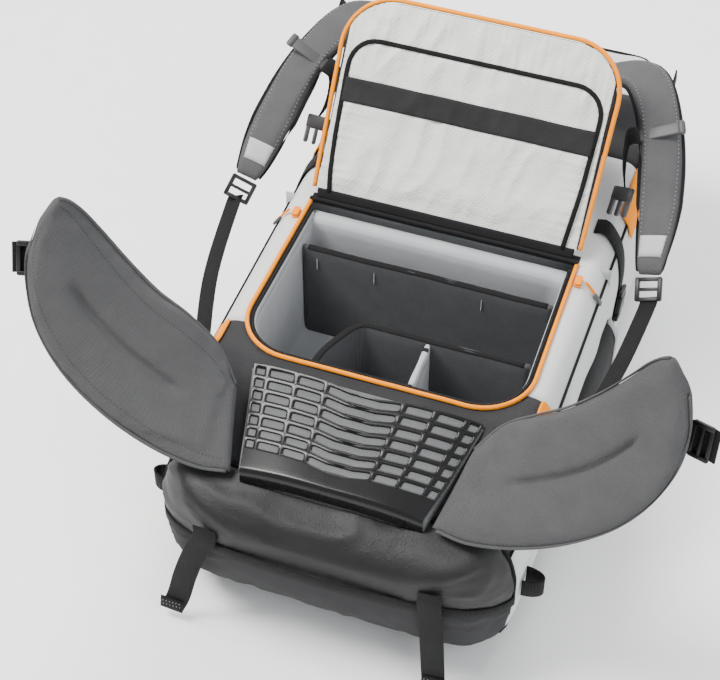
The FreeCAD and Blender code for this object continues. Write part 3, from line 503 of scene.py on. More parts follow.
# ---- Rim: piping, zip and inner band ---------------------------------------------------------
# An orange cloth-covered cord is sewn round three sides of the opening, with a black coil zip
# inside it and a light grey band that turns down into the insert.


def sweep(path, across, widths, thicks, section, closed=False):
    """A section carried along a path: points and faces, with closed ends unless it is a loop."""
    path = np.array(path, float)
    count = len(path)
    ahead = np.roll(path, -1, axis=0) if closed else np.vstack([path[1:], path[-1:]])
    behind = np.roll(path, 1, axis=0) if closed else np.vstack([path[:1], path[:-1]])
    points = []
    for index in range(count):
        along = unit(ahead[index] - behind[index])
        wide = unit(across[index] if isinstance(across, list) else across)
        face = unit(np.cross(along, wide))
        width = widths[index] if isinstance(widths, list) else widths
        thick = thicks[index] if isinstance(thicks, list) else thicks
        points += [path[index] + wide * (x * width / 2) + face * (y * thick / 2) for x, y in section]
    size = len(section)
    faces = []
    for index in range(count if closed else count - 1):
        here, there = index * size, (index + 1) % count * size
        faces += [(here + k, here + (k + 1) % size, there + (k + 1) % size, there + k) for k in range(size)]
    if not closed:
        faces += [list(range(size))[::-1], list(range((count - 1) * size, count * size))]
    return points, faces


def round_section(sides):
    return [(math.cos(2 * math.pi * k / sides), math.sin(2 * math.pi * k / sides)) for k in range(sides)]


BAND = [(-1, -0.6), (-0.96, -1), (0.96, -1), (1, -0.6), (1, 0.6), (0.96, 1), (-0.96, 1), (-1, 0.6)]


def along_rim(inset, height, stop=0.0, wave=0.0):
    """A path in space round the rim at one inset and height, with the sewn cloth's slight waver."""
    return [(x, y, height + wave * ripple((x, y, 0), 22, 11)) for x, y in rim_path(inset, stop)]


def resampled(path, step):
    """The same line with points a fixed step apart, smoothed by Catmull-Rom."""
    path = [np.array(point, float) for point in path]
    padded = [2 * path[0] - path[1]] + path + [2 * path[-1] - path[-2]]
    out = []
    for before, start, end, after in zip(padded, padded[1:], padded[2:], padded[3:]):
        count = max(1, int(np.linalg.norm(end - start) / step))
        for k in range(count):
            t = k / count
            out.append(0.5 * (2 * start + (end - before) * t + (2 * before - 5 * start
                    + 4 * end - after) * t * t
                              + (3 * start - before - 3 * end + after) * t ** 3))
    return out + [path[-1]]


def rows_tree():
    """Small stamps set along a curve at a fixed spacing: stitches, zip teeth and ribs."""
    tree = bpy.data.node_groups.new("Stamp row", "GeometryNodeTree")
    tree.interface.new_socket(name="Line", in_out="INPUT", socket_type="NodeSocketGeometry")
    for name, kind in (("Spacing", "NodeSocketFloat"), ("Stamp Size", "NodeSocketVector"),
                       ("Finish", "NodeSocketMaterial")):
        tree.interface.new_socket(name=name, in_out="INPUT", socket_type=kind)
    tree.interface.new_socket(name="Stamps", in_out="OUTPUT", socket_type="NodeSocketGeometry")
    nodes, links = tree.nodes, tree.links
    inside, outside = nodes.new("NodeGroupInput"), nodes.new("NodeGroupOutput")
    spread = nodes.new("GeometryNodeCurveToPoints")
    spread.mode = "LENGTH"
    stamp = nodes.new("GeometryNodeMeshUVSphere")
    stamp.inputs["Segments"].default_value = 6
    stamp.inputs["Rings"].default_value = 4
    stamp.inputs["Radius"].default_value = 0.5
    copies = nodes.new("GeometryNodeInstanceOnPoints")
    whole = nodes.new("GeometryNodeRealizeInstances")
    finish = nodes.new("GeometryNodeSetMaterial")
    links.new(inside.outputs["Line"], spread.inputs["Curve"])
    links.new(inside.outputs["Spacing"], spread.inputs["Length"])
    links.new(spread.outputs["Points"], copies.inputs["Points"])
    links.new(spread.outputs["Rotation"], copies.inputs["Rotation"])
    links.new(stamp.outputs["Mesh"], copies.inputs["Instance"])
    links.new(inside.outputs["Stamp Size"], copies.inputs["Scale"])
    links.new(copies.outputs["Instances"], whole.inputs["Geometry"])
    links.new(whole.outputs["Geometry"], finish.inputs["Geometry"])
    links.new(inside.outputs["Finish"], finish.inputs["Material"])
    links.new(finish.outputs["Geometry"], outside.inputs["Stamps"])
    return tree


stamp_tree = rows_tree()


def stamp_row(name, paths, spacing, size, body, material, slot, *nodes):
    """Stamps of one size, in millimetres across, out and along, set along one or more lines."""
    line = bpy.data.curves.new(name + "_line", "CURVE")
    line.dimensions = "3D"
    line.twist_mode = "Z_UP"
    for path in paths:
        spline = line.splines.new("POLY")
        spline.points.add(len(path) - 1)
        for knot, point in zip(spline.points, path):
            knot.co = (point[0] / 1000, point[1] / 1000, point[2] / 1000, 1)
    carrier = bpy.data.objects.new(name + "_line", line)
    bpy.context.scene.collection.objects.link(carrier)
    maker = carrier.modifiers.new("Stamps", "NODES")
    maker.node_group = stamp_tree
    keys = {item.name: item.identifier for item in stamp_tree.interface.items_tree if item.in_out == "INPUT"}
    maker[keys["Spacing"]] = spacing / 1000
    maker[keys["Stamp Size"]] = [value / 1000 for value in size]
    maker[keys["Finish"]] = material
    bpy.context.view_layer.update()
    mesh = bpy.data.meshes.new_from_object(carrier.evaluated_get(bpy.context.evaluated_depsgraph_get()))
    bpy.data.objects.remove(carrier)
    mesh.name = name
    for face in mesh.polygons:
        face.use_smooth = True
    thing = bpy.data.objects.new(name, mesh)
    bpy.context.scene.collection.objects.link(thing)
    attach(thing, body)
    if nodes:
        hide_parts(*nodes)
    return thing


orange = cloth("orange_piping", (0.95, 0.275, 0.0), thread=1.1, crease=0.4, bump=0.5, contrast=0.1,
               roughness=0.6, sheen=0.0)
zip_cloth = cloth("zip_tape", (0.012, 0.012, 0.013), thread=0.9, crease=0.1, bump=0.4, contrast=0.3)
zip_teeth = moulded("zip_coil", (0.014, 0.014, 0.015), roughness=0.35, fine=900)
liner_cloth = cloth("brushed_liner", (0.40, 0.41, 0.425), thread=1.2, crease=1.0, bump=0.6, contrast=0.08,
                    sheen=0.1)

rim_line = resampled(along_rim(3.0, deck + 1.6, 0.0, 0.5), 4)
points, faces = sweep(rim_line, (0, 0, 1), 5.2, 4.6, round_section(12))
piece("rim_piping_cord", points, faces, "pack", orange, "piping_orange", "rim_piping")
tape_line = resampled(along_rim(7.6, deck - 0.2, 8, 0.2), 5)
flat_across = [unit(np.cross(unit(np.array(b) - np.array(a)), (0, 0, 1))) for a, b in
               zip(tape_line, tape_line[1:] + [tape_line[-1] * 2 - tape_line[-2]])]
points, faces = sweep(tape_line, flat_across, 5.4, 0.9, BAND)
piece("rim_zip_tape_black", points, faces, "pack", zip_cloth, "zip_black")
stamp_row("rim_zip_teeth", [resampled(along_rim(8.2, deck + 0.6, 12), 4)], 1.5, (2.6, 1.4, 1.0), "pack",
          zip_teeth,
          "zip_black", "rim_zip_coil")
PROFILE = [(9.8, deck - 0.5), (11.2, deck - 1.4), (11.9, deck - 5), (11.6, deck - 9)]


def rim_skin(profile, stop, wave):
    """A sheet that follows the rim through a profile of insets and heights."""
    rows = [[(x, y, height + wave * ripple((x, y, height), 16, 12)) for x, y in rim_path(inset, stop)]
            for inset, height in profile]
    count = len(rows[0])
    points = [point for row in rows for point in row]
    faces = [(r * count + k, r * count + k + 1, (r + 1) * count + k + 1, (r + 1) * count + k)
             for r in range(len(rows) - 1) for k in range(count - 1)]
    return points, faces


points, faces = rim_skin(PROFILE, 14, 0.5)
thicken(piece("rim_inner_band", points, faces, "pack", liner_cloth, "shell_light", "rim_zip_tape", level=1),
        1.2)

# ---- Camera insert ---------------------------------------------------------------------------
# A padded tub of foam walls covered in brushed light grey liner, its top edge rolled over under
# the rim, its walls slightly dented where gear presses on them.


def loops_mesh(loops, close_first=True, close_last=True):
    """Skins a stack of closed loops; the first and last are filled."""
    count = len(loops[0])
    points = [point for loop in loops for point in loop]
    faces = []
    for level in range(len(loops) - 1):
        here, there = level * count, (level + 1) * count
        faces += [(here + k, here + (k + 1) % count, there + (k + 1) % count,
                   there + k) for k in range(count)]
    if close_first:
        faces.append(list(range(count))[::-1])
    if close_last:
        faces.append(list(range((len(loops) - 1) * count, len(loops) * count)))
    return points, faces


insert_low = cad_mm("camera_insert", 0, 2)
insert_top = cad_mm("camera_insert", 1, 2)
insert_floor = cad_mm("divider_long", 0, 2) - 0.4
tub = [(3.6, insert_low + 1), (3.4, insert_low + 30), (3.4, insert_top - 6), (4.6, insert_top - 1.5),
       (7.5, insert_top - 0.2), (10.6, insert_top - 1.2), (12.2, insert_top - 6)]
tub += [(12.3, height) for height in np.linspace(insert_top - 16, insert_floor + 12, 12)]
tub += [(13.5, insert_floor + 3), (17, insert_floor)]


def tub_loop(inset, height):
    soft = 0.0 if inset < 12 else 0.7
    return [(x * (1 - soft * abs(ripple((x, y, height), 40, 13)) / 150), y, height
             + (0.4 * ripple((x, y, 0), 20, 14) if height > insert_top - 8 else 0)) for x,
             y in rim_loop(inset, 2 * inset - 3)]


points, faces = loops_mesh([tub_loop(inset, height) for inset, height in tub])
insert = piece("insert_tub_cloth", points, faces, "pack", liner_cloth, "liner_grey", "camera_insert")

# ---- Dividers --------------------------------------------------------------------------------
# Foam walls in dark brushed cloth with bound top edges, held by hook strips at their ends. The
# short one is light grey, and its loose flap folds over at the top.

divider_cloth = cloth("brushed_charcoal", (0.058, 0.060, 0.065), thread=1.2, crease=0.8, bump=0.6,
                      contrast=0.35,
                      roughness=0.95, sheen=0.15)
thread_light = cloth("sewing_thread", (0.35, 0.35, 0.36), thread=0.5, crease=0.0, bump=0.3)
divider_low = insert_floor + 0.5
divider_high = cad_mm("divider_long", 1, 2)


def divider(name, line, thickness, body, material, slot, node, seed):
    """An upright padded wall along a line on the insert's floor, its faces swollen between its edges."""
    line = resampled([(x, y, 0) for x, y in line], 5)
    levels = [(0, 0.86),
              (2, 1.0)] + [(2 + (divider_high - divider_low - 5) * k / 10, 1.0) for k in range(1, 11)]
    levels += [(divider_high - divider_low - 1.0, 0.86), (divider_high - divider_low, 0.5)]
    loops = []
    for rise, share in levels:
        right, left = [], []
        for index, point in enumerate(line):
            ahead = line[min(index + 1, len(line) - 1)] - line[max(index - 1, 0)]
            side = unit(np.cross(unit(ahead), (0, 0, 1)))
            end = min(index, len(line) - 1 - index)
            middle = math.sin(math.pi * min(1, max(0, rise / (divider_high - divider_low))))
            swell = thickness / 2 * share * (0.85 if end == 0 else 1.0) * (0.9 + 0.08 * middle
                    + 0.08 * ripple((point[0], point[1], rise), 30, seed))
            top = divider_low + rise + (0.5 * ripple(point, 25, seed) - 0.5 if rise > 60 else 0)
            right.append((*(point[:2] + side[:2] * swell), top))
            left.append((*(point[:2] - side[:2] * swell), top))
        loops.append(right + left[::-1])
    points, faces = loops_mesh(loops)
    made = piece(name, points, faces, body, material, slot, node)
    bound = [(point[0], point[1], divider_high - 1.4 + 0.5 * ripple(point, 25, seed)) for point in line[1:-1]]
    points, faces = sweep(bound, (0, 0, 1), 2.6, thickness * 0.9, round_section(8))
    piece(name + "_binding", points, faces, body, binding_cloth, "binding_black")
    return made


binding_cloth = cloth("binding_tape", (0.009, 0.009, 0.0095), thread=1.0, crease=0.2, bump=0.5, contrast=0.3)
divider("divider_long_cloth", [(-136.4, -16.5), (-60, -16.9), (0, -16.2), (70, -16.7), (136.4, -16.5)], 8.6,
        "divider_long", divider_cloth, "divider_cloth", "divider_long", 15)
divider("divider_hump_cloth",
        [(-69.3, -176.4), (-65.6, -152), (-56.2, -128), (-48, -113), (-38.5, -103.6), (-20, -102.5),
                               (40, -102.8), (90, -102.2), (136.4, -102.5)], 8.4,
        "divider_hump", divider_cloth, "divider_cloth", "divider_hump", 16)
divider("divider_short_cloth", [(31.5, -176.6), (31.2, -150), (31.8, -125), (31.5, -108.4)], 6.6,
        "divider_short", liner_cloth, "liner_grey", "divider_short", 17)
flap = []
for row in range(7):
    turn = math.pi * row / 6
    for step in range(9):
        along = -166 + 46 * step / 8
        flap.append((31.5 + 4.6 * math.cos(turn) * (1 + 0.1 * math.sin(step)) + (2.5 if row > 4 else 0),
                     along,
                     divider_high - 1.6 + 2.6 * math.sin(turn) - (8 if row in (0, 6) else 0)))
faces = [(r * 9 + k, r * 9 + k + 1, (r + 1) * 9 + k + 1, (r + 1) * 9 + k) for r in range(6) for k in range(8)]
thicken(piece("divider_short_flap", flap, faces, "divider_short", liner_cloth, "liner_grey", level=1), 0.9)
tacks = [[(-120, -21.6, divider_high - 12), (-120, -21.6, divider_high - 26)],
         [(-56, -21.6, divider_high - 12), (-56, -21.6, divider_high - 26)],
         [(62, -21.6, divider_high - 12), (62, -21.6, divider_high - 26)]]
stamp_row("divider_bar_tacks", tacks, 1.1, (0.5, 3.2, 0.8), "divider_long", thread_light, "liner_grey")

# ---- Upper compartment wall and frame --------------------------------------------------------
# A thin sewn wall parts the camera insert from the upper compartment. Two alloy rods and a
# crossbar run just under the back panel, seen only from inside.

wall_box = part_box("compartment_wall")
wall_low, wall_high = wall_box[0] * 1000, wall_box[1] * 1000
columns, levels = 44, 18
wall_points = [(x,
                (wall_low[1] + wall_high[1]) / 2 + 1.6 * ripple((x, 0, z), 40,
                                                                18) * math.sin(math.pi * c / columns), z)
               for r, z in enumerate(np.linspace(wall_low[2] + 0.5, wall_high[2] - 0.5, levels + 1))
               for c, x in enumerate(np.linspace(wall_low[0] + 0.5, wall_high[0] - 0.5, columns + 1))]
wall_faces = [(r * (columns + 1) + c, r * (columns + 1) + c + 1, (r + 1) * (columns + 1) + c + 1,
               (r + 1) * (columns + 1) + c) for r in range(levels) for c in range(columns)]
room_wall = piece("compartment_wall_cloth", wall_points, wall_faces, "pack", liner_cloth, "liner_grey",
                  "compartment_wall")
thicken(room_wall, 1.6)
alloy = moulded("frame_alloy", (0.55, 0.56, 0.58), roughness=0.35, fine=2500, bump=0.08, contrast=0.08)
alloy.node_tree.nodes["Principled BSDF"].inputs["Metallic"].default_value = 1.0
for node in ("frame_rods", "frame_crossbar"):
    bpy.data.objects[node].data.materials.clear()
    bpy.data.objects[node].data.materials.append(alloy)

# ---- Lid -------------------------------------------------------------------------------------
# The zipped back panel, drawn here fully open and leaning away. A thin foam core carries orange
# piping round three sides, an off-white puckered lining with a bound pocket, an elastic band
# and, outside, two back pads.

lid_turn = math.radians(-joints["lid_hinge"]["range_deg"][0])


def open_lid(points):
    """Closed-lid points swung open by the hinge's full travel."""
    out = []
    for x, y, z in points:
        dy, dz = y - hinge[1], z - hinge[2]
        out.append((x, hinge[1] + dy * math.cos(lid_turn) + dz * math.sin(lid_turn),
                    hinge[2] - dy * math.sin(lid_turn) + dz * math.cos(lid_turn)))
    return out


lid_low = deck + 5
lid_high = deck + 13


def lid_form(rings, stop, crown):
    """The lid's loops from its edge inward, as closed loops at an inset, height and rise."""
    return [[(x, y, height + crown(x, y)) for x, y in rim_loop(inset, stop)] for inset, height in rings]


core_rings = [(60 - 8, lid_low + 0.3), (30, lid_low + 0.2), (12, lid_low + 0.2), (7.5, lid_low + 0.4),
              (6.4, lid_low + 3), (6.4, lid_high - 3),
              (8, lid_high - 1), (14, lid_high - 0.4), (30, lid_high - 0.3), (52, lid_high - 0.4)]
points, faces = loops_mesh(lid_form(core_rings, 12, lambda x, y: 0.0))
lid_cloth = cloth("lid_outer", (0.028, 0.028, 0.03), thread=1.4, crease=0.6, bump=0.6, contrast=0.35)
core = piece("lid_core_cloth", open_lid(points), faces, "lid", lid_cloth, "cordura_black", "lid_core")
points, faces = sweep(resampled(along_rim(3.2, lid_low + 2.3, 12, 0.6), 4), (0, 0, 1), 6.0, 5.0,
                      round_section(12))
piece("lid_piping_cord", open_lid(points), faces, "lid", orange, "piping_orange", "lid_piping")
lining_white = cloth("off_white_lining", (0.66, 0.66, 0.625), thread=4.4, crease=1.8, bump=0.7,
                     contrast=0.04, roughness=0.42)


pocket_half, pocket_top = 136.5, near_y + 49


def pocket_edge(x, y):
    """How far a point lies inside the pocket's arch, negative outside it."""
    side, top = pocket_half - abs(x) + (y - hinge[1]) * 0.04 * -1, y - pocket_top
    if side < 30 and top < 30:
        return 30 - math.hypot(30 - side, 30 - top)
    return min(side, top)


def lining_height(x, y, edge):
    """The lining's loose skin: deep puckers square to its sewn edges, gentle folds in the middle."""
    along = x if y - near_y < 150 - abs(x) * 0.6 else y
    pucker = ripple((along, 0, 0), 5.5, 20) * max(0.0, 1 - edge / 46) * 2.4
    pocket = pocket_edge(x, y)
    sewn = ripple((along * 1.0, 3, 0), 7, 28) * max(0.0, 1 - abs(pocket) / 26) * 1.7
    fold = (0.5 - abs(ripple((x * 1.6 + y * 0.3, y * 0.6, 0), 40, 21)) * 2.2) * 3.6 + ripple((x, y, 5), 26,
                                                                                             22) * 1.5
    loose = min(1.0, max(0.0, (hinge[1] - 12 - y) / 16))
    sag = min(1.0, edge / 16)
    lift = 1.3 * min(1.0, max(0.0, pocket / 8))
    return min(lid_low - 0.6, lid_low - 0.6 - loose * (sag * (1.8 + 0.9 * fold + lift) + pucker + sewn))


def inside_edge(x, y):
    """How far a point lies inside the lid's outline."""
    side = hinge_half - abs(x)
    if y < corner_y and abs(x) > corner_x:
        side = min(side, rim_radius - math.hypot(abs(x) - corner_x, y - corner_y))
    return min(side, y - near_y)


lining_grid, lining_faces, index_of = [], [], {}
lining_columns, lining_rows = 150, 112
for r in range(lining_rows + 1):
    for c in range(lining_columns + 1):
        x = (hinge_half - 7) * (-1 + 2 * c / lining_columns)
        y = near_y + 7 + (hinge[1] - 15 - near_y) * r / lining_rows
        edge = inside_edge(x, y)
        if edge < 6.5:
            reach = Vector((abs(x) - corner_x, y - corner_y))
            reach = reach.normalized() * (rim_radius - 6.5)
            x, y = math.copysign(corner_x + reach.x, x), corner_y + reach.y
            edge = 6.5
        index_of[(r, c)] = len(lining_grid)
        lining_grid.append((x, y, lining_height(x, y, edge - 6.5)))
for r in range(lining_rows):
    for c in range(lining_columns):
        lining_faces.append((index_of[(r, c)], index_of[(r, c + 1)], index_of[(r + 1, c + 1)],
                             index_of[(r + 1, c)]))
lining = piece("lid_lining_cloth", open_lid(lining_grid), lining_faces, "lid", lining_white, "lining_white",
               "lid_lining")
thicken(lining, 0.5)

half_arch = [(pocket_half - 8, hinge[1] - 9), (pocket_half - 3, hinge[1] - 60),
             (pocket_half - 0.5, pocket_top + 60)]
half_arch += [(pocket_half - 30 + 30 * math.cos(turn), pocket_top + 30 - 30 * math.sin(turn)) for turn in
              np.linspace(0, math.pi / 2, 8)]
arch = half_arch + [(0, pocket_top)] + [(-x, y) for x, y in reversed(half_arch)]
pocket_path = resampled([(x, y, 0) for x, y in arch], 5)
pocket_path = [(x, y, lining_height(x, y, inside_edge(x, y) - 6.5) - 0.9) for x, y, _ in pocket_path]
pocket_across = [unit(np.cross(unit(np.array(b) - np.array(a)), (0, 0, 1))) for a, b in
                 zip(pocket_path,
                     pocket_path[1:] + [2 * np.array(pocket_path[-1]) - np.array(pocket_path[-2])])]
points, faces = sweep(pocket_path, pocket_across, 5.0, 2.2, BAND)
piece("pocket_binding_tape", open_lid(points), faces, "lid", binding_cloth, "binding_black",
      "lid_pocket_binding")
band_rows = [(x, y + 0.8 * ripple((x, 0, 0), 60, 29), min(lining_height(x, y, 40), lid_low - 3.4) - 1.0)
             for y in np.linspace(-99, -73, 10) for x in np.linspace(1 - pocket_half, pocket_half - 1, 90)]
band_faces = [(r * 90 + c, r * 90 + c + 1, (r + 1) * 90 + c + 1,
               (r + 1) * 90 + c) for r in range(9) for c in range(89)]
elastic = cloth("elastic_band", (0.022, 0.022, 0.023), thread=1.9, crease=0.1, bump=0.9, contrast=0.3)
band = piece("elastic_band_strip", open_lid(band_rows), band_faces, "lid", elastic, "stretch_grey",
             "lid_elastic_band")
thicken(band, 1.4)

HINGE_SPAN = np.linspace(-148, 148, 75)
fold_points = []
for share in np.linspace(0, 1, 9):
    for x in HINGE_SPAN:
        radius = 2.6 + 0.5 * ripple((x, share * 20, 0), 13, 24)
        fold_points.append((x, hinge[1] + radius * math.cos(math.pi / 2 + 1.1 * math.pi * share),
                            hinge[2] - 0.4 + radius * math.sin(math.pi / 2 + 1.1 * math.pi * share)))
span = len(HINGE_SPAN)
fold_faces = [(r * span + c, r * span + c + 1, (r + 1) * span + c + 1, (r + 1) * span + c) for r in range(8)
              for c in range(span - 1)]
piece("hinge_fold_roll", fold_points, fold_faces, "lid", zip_cloth, "zip_black")
flap_rows = [(x, y, height + 0.4 * ripple((x, y, 0), 18, 25)) for y, height in
             zip(np.linspace(hinge[1] - 12, hinge[1] - 1, 5),
                 (lid_low - 2.4, lid_low - 2.2, lid_low - 1.8, lid_low - 1.0, lid_low - 0.2))
             for x in HINGE_SPAN * 0.955]
flap_faces = [(r * span + c, r * span + c + 1, (r + 1) * span + c + 1, (r + 1) * span + c) for r in range(4)
              for c in range(span - 1)]
thicken(piece("hinge_tape_on_lid", open_lid(flap_rows), flap_faces, "lid", zip_cloth, "zip_black",
              "lid_hinge_tape"), 1.2)
tape_rows = [(x, y, deck + 1.2 + 0.3 * ripple((x, y, 2), 18, 26)) for y in np.linspace(hinge[1] - 2,
                                                                                       hinge[1] + 12, 6)
             for x in HINGE_SPAN]
tape_faces = [(r * span + c, r * span + c + 1, (r + 1) * span + c + 1, (r + 1) * span + c) for r in range(5)
              for c in range(span - 1)]
thicken(piece("hinge_tape_on_pack", tape_rows, tape_faces, "pack", zip_cloth, "zip_black",
              "rim_hinge_tape"), 1.2)


def puffed(thing, pressure, share=0.001, frames=20):
    """Swells a closed cloth like a stuffed cushion, and keeps the swollen mesh."""
    soft = thing.modifiers.new("Stuffing", "CLOTH")
    soft.settings.use_pressure = True
    soft.settings.uniform_pressure_force = pressure
    soft.settings.effector_weights.gravity = 0.0
    soft.settings.quality = 5
    soft.point_cache.frame_start = 1
    soft.point_cache.frame_end = frames
    before = np.array([tuple(vertex.co) for vertex in thing.data.vertices])
    for number in range(1, frames + 1):
        bpy.context.scene.frame_set(number)
    shaped = bpy.data.meshes.new_from_object(thing.evaluated_get(bpy.context.evaluated_depsgraph_get()))
    after = np.array([tuple(vertex.co) for vertex in shaped.vertices])
    thing.modifiers.remove(soft)
    bpy.data.meshes.remove(shaped)
    bpy.context.scene.frame_set(1)
    if len(after) == len(before):
        shift = after - before
        shift -= shift.mean(axis=0)
        size = np.linalg.norm(shift, axis=1, keepdims=True)
        shift *= np.minimum(1.0, share / np.maximum(size, 1e-9))
        for vertex, place in zip(thing.data.vertices, before + shift):
            vertex.co = place
    return thing


foam_cloth = cloth("pad_mesh", (0.075, 0.075, 0.078), thread=2.2, crease=0.5, bump=1.0, contrast=0.3,
                   roughness=0.9)
for side, node in ((-1, "back_pad_left"), (1, "back_pad_right")):
    rings = []
    for inset, rise in ((3, 0.0), (0.6, 2.5), (0.3, 7), (1.6, 11.5), (6, 14.4), (13, 15.4), (24, 15.7),
                        (40, 15.8)):
        loop = []
        for turn in np.linspace(0, 2 * math.pi, 72, endpoint=False):
            wide, tall, round_by = 61 - inset, 83.5 - inset, max(6, 24 - inset)
            cx, cy = math.cos(turn), math.sin(turn)
            power = 0.42
            x = math.copysign(abs(cx) ** power, cx) * wide
            y = math.copysign(abs(cy) ** power, cy) * tall
            loop.append((side * 73 + x, -82.5 + y,
                         lid_high + 0.1 + rise + (0.5 * ripple((x, y, 0), 30, 27) if rise > 12 else 0)))
        rings.append(loop)
    points, faces = loops_mesh(rings)
    pad = piece(node + "_cushion", open_lid(points), faces, "lid", foam_cloth, "foam_grey", node)
    puffed(pad, 4, 0.0012)

# ---- Lumbar pad ------------------------------------------------------------------------------
# A crowned foam pad in grey cloth on the sloping end of the back, gripped by a glossy black
# rubber net whose rounded windows show the cloth.

grip_rubber = moulded("grip_rubber", (0.006, 0.006, 0.0065), roughness=0.27, fine=500, bump=0.06,
                      contrast=0.1, coat=0.05, shine=0.28)
lumbar_cloth = cloth("lumbar_knit", (0.115, 0.117, 0.12), thread=2.4, crease=0.3, bump=0.9, contrast=0.3)


def lumbar_place(across, along, lift):
    """A point on the lumbar pad: across is -1 to 1, along 0 to 1 from its low end to the rim."""
    along = min(1.0, max(0.0, along))
    y = slope_low_y + 106 * along
    half = 94 + 26 * along
    x = across * half
    floor = slope_low_z + 48 * along + 0.8
    edge = np.interp(along, [0, 0.42, 0.97, 1], [20, 8.4, 1.8, 1.6])
    crown = 8 * np.interp(along, [0, 0.42, 0.97], [1, 1.1, 0.9])
    bulge = (1 - abs(across) ** 3.2) * crown
    return (x, y, floor + edge + bulge + lift)


rows, columns = 44, 70
top_grid = [lumbar_place(-1 + 2 * c / columns, r / rows * 0.97,
                         0.0) for r in range(rows + 1) for c in range(columns + 1)]
width = columns + 1
faces = [(r * width + c, r * width + c + 1, (r + 1) * width + c + 1, (r + 1) * width + c) for r in range(rows)
         for c in range(columns)]
border = ([r * width for r in range(rows + 1)] + [rows * width + c for c in range(1, width)]
          + [r * width + columns for r in range(rows - 1, -1, -1)] + [c for c in range(columns - 1, 0, -1)])
skirt_start = len(top_grid)
for index in border:
    x, y, _ = top_grid[index]
    along = (y - slope_low_y) / 106
    top_grid.append((x * 0.995, y, slope_low_z + 48 * along + 0.9))
count = len(border)
faces += [(border[k], border[(k + 1) % count], skirt_start + (k + 1) % count,
           skirt_start + k) for k in range(count)]
faces.append([skirt_start + k for k in range(count)])
lumbar = piece("lumbar_pad_cloth", top_grid, faces, "pack", lumbar_cloth, "foam_grey", "lumbar_pad")

COLUMN_EDGES = [-0.985, -0.86, -0.60, -0.335, 0.335, 0.60, 0.86, 0.985]
ROW_EDGES = [0.17, 0.285, 0.40, 0.515, 0.63, 0.745, 0.86, 0.975]


def net_bend(across, along):
    """The net's rows dip at the middle of the pad like a shallow V."""
    dip = 0.06 * (1 - min(1.0, abs(across) / 0.335))
    sweep_down = 0.05 * (abs(across) - 0.335) if abs(across) > 0.335 else 0.0
    return along - dip + sweep_down


net_points, net_faces = [], []
samples = 16


def outer_frame(low_x, high_x, low_y, high_y, inner):
    """One net cell as a ring between its rectangle and its rounded window."""
    def ring(shrink, round_share):
        out = []
        half_x, half_y = (high_x - low_x) / 2 - shrink[0], (high_y - low_y) / 2 - shrink[1]
        middle_x, middle_y = (low_x + high_x) / 2, (low_y + high_y) / 2
        for k in range(4 * samples):
            turn = 2 * math.pi * (k + 0.5) / (4 * samples)
            cx, cy = math.cos(turn), math.sin(turn)
            scale = 1 / max(abs(cx), abs(cy))
            square = np.array([cx * scale, cy * scale])
            soft = np.array([math.copysign(abs(cx) ** round_share, cx),
                             math.copysign(abs(cy) ** round_share, cy)])
            blend_to = square if round_share >= 1 else soft
            out.append((middle_x + blend_to[0] * half_x, middle_y + blend_to[1] * half_y))
        return out

    lip = (inner[0] * 0.8, inner[1] * 0.8)
    rings = [(ring((0, 0), 1.0), 1.8), (ring(lip, 0.3), 1.8), (ring(inner, 0.28), 1.4),
             (ring(inner, 0.28), 0.2)]
    size = 4 * samples
    for loop, lift in rings:
        for x, y in loop:
            net_points.append(lumbar_place(x, net_bend(x, y), lift))
    start = len(net_points) - size * len(rings)
    for level in range(len(rings) - 1):
        here, there = start + level * size, start + (level + 1) * size
        net_faces.extend([(here + k, here + (k + 1) % size, there + (k + 1) % size,
                           there + k) for k in range(size)])


for low_y, high_y in zip(ROW_EDGES, ROW_EDGES[1:]):
    for low_x, high_x in zip(COLUMN_EDGES, COLUMN_EDGES[1:]):
        outer_frame(low_x, high_x, low_y, high_y, (0.024, 0.022))
band_columns = 70
band_start = len(net_points)
band_levels = [(-0.02, -19.5), (-0.01, -9.0), (0.0, 1.6), (0.02, 2.2), (0.06, 2.1), (0.10, 2.0),
               (0.14, 1.9), (0.17, 1.8)]
for along, lift in band_levels:
    for c in range(band_columns + 1):
        across = -0.985 + 1.97 * c / band_columns
        share = max(0.0, along / 0.17)
        x, y, z = lumbar_place(across,
                               max(0.0, along if along < 0.01 else along + (net_bend(across, 0) * share)),
                               lift)
        net_points.append((x, y - (2.0 if along < 0.01 else 0.0), z))
net_faces += [(band_start + r * 71 + c, band_start + r * 71 + c + 1, band_start + (r + 1) * 71 + c + 1,
               band_start + (r + 1) * 71 + c) for r in range(len(band_levels) - 1) for c in range(70)]
piece("lumbar_net", net_points, net_faces, "pack", grip_rubber, "grip_rubber", "lumbar_grip")

# ---- Hip belt wings --------------------------------------------------------------------------
# Two padded grey wings, folded up and out, sewn on at the lumbar pad's edges. Each has bound,
# puckered edges, a webbing loop and a ladder lock near its tip.

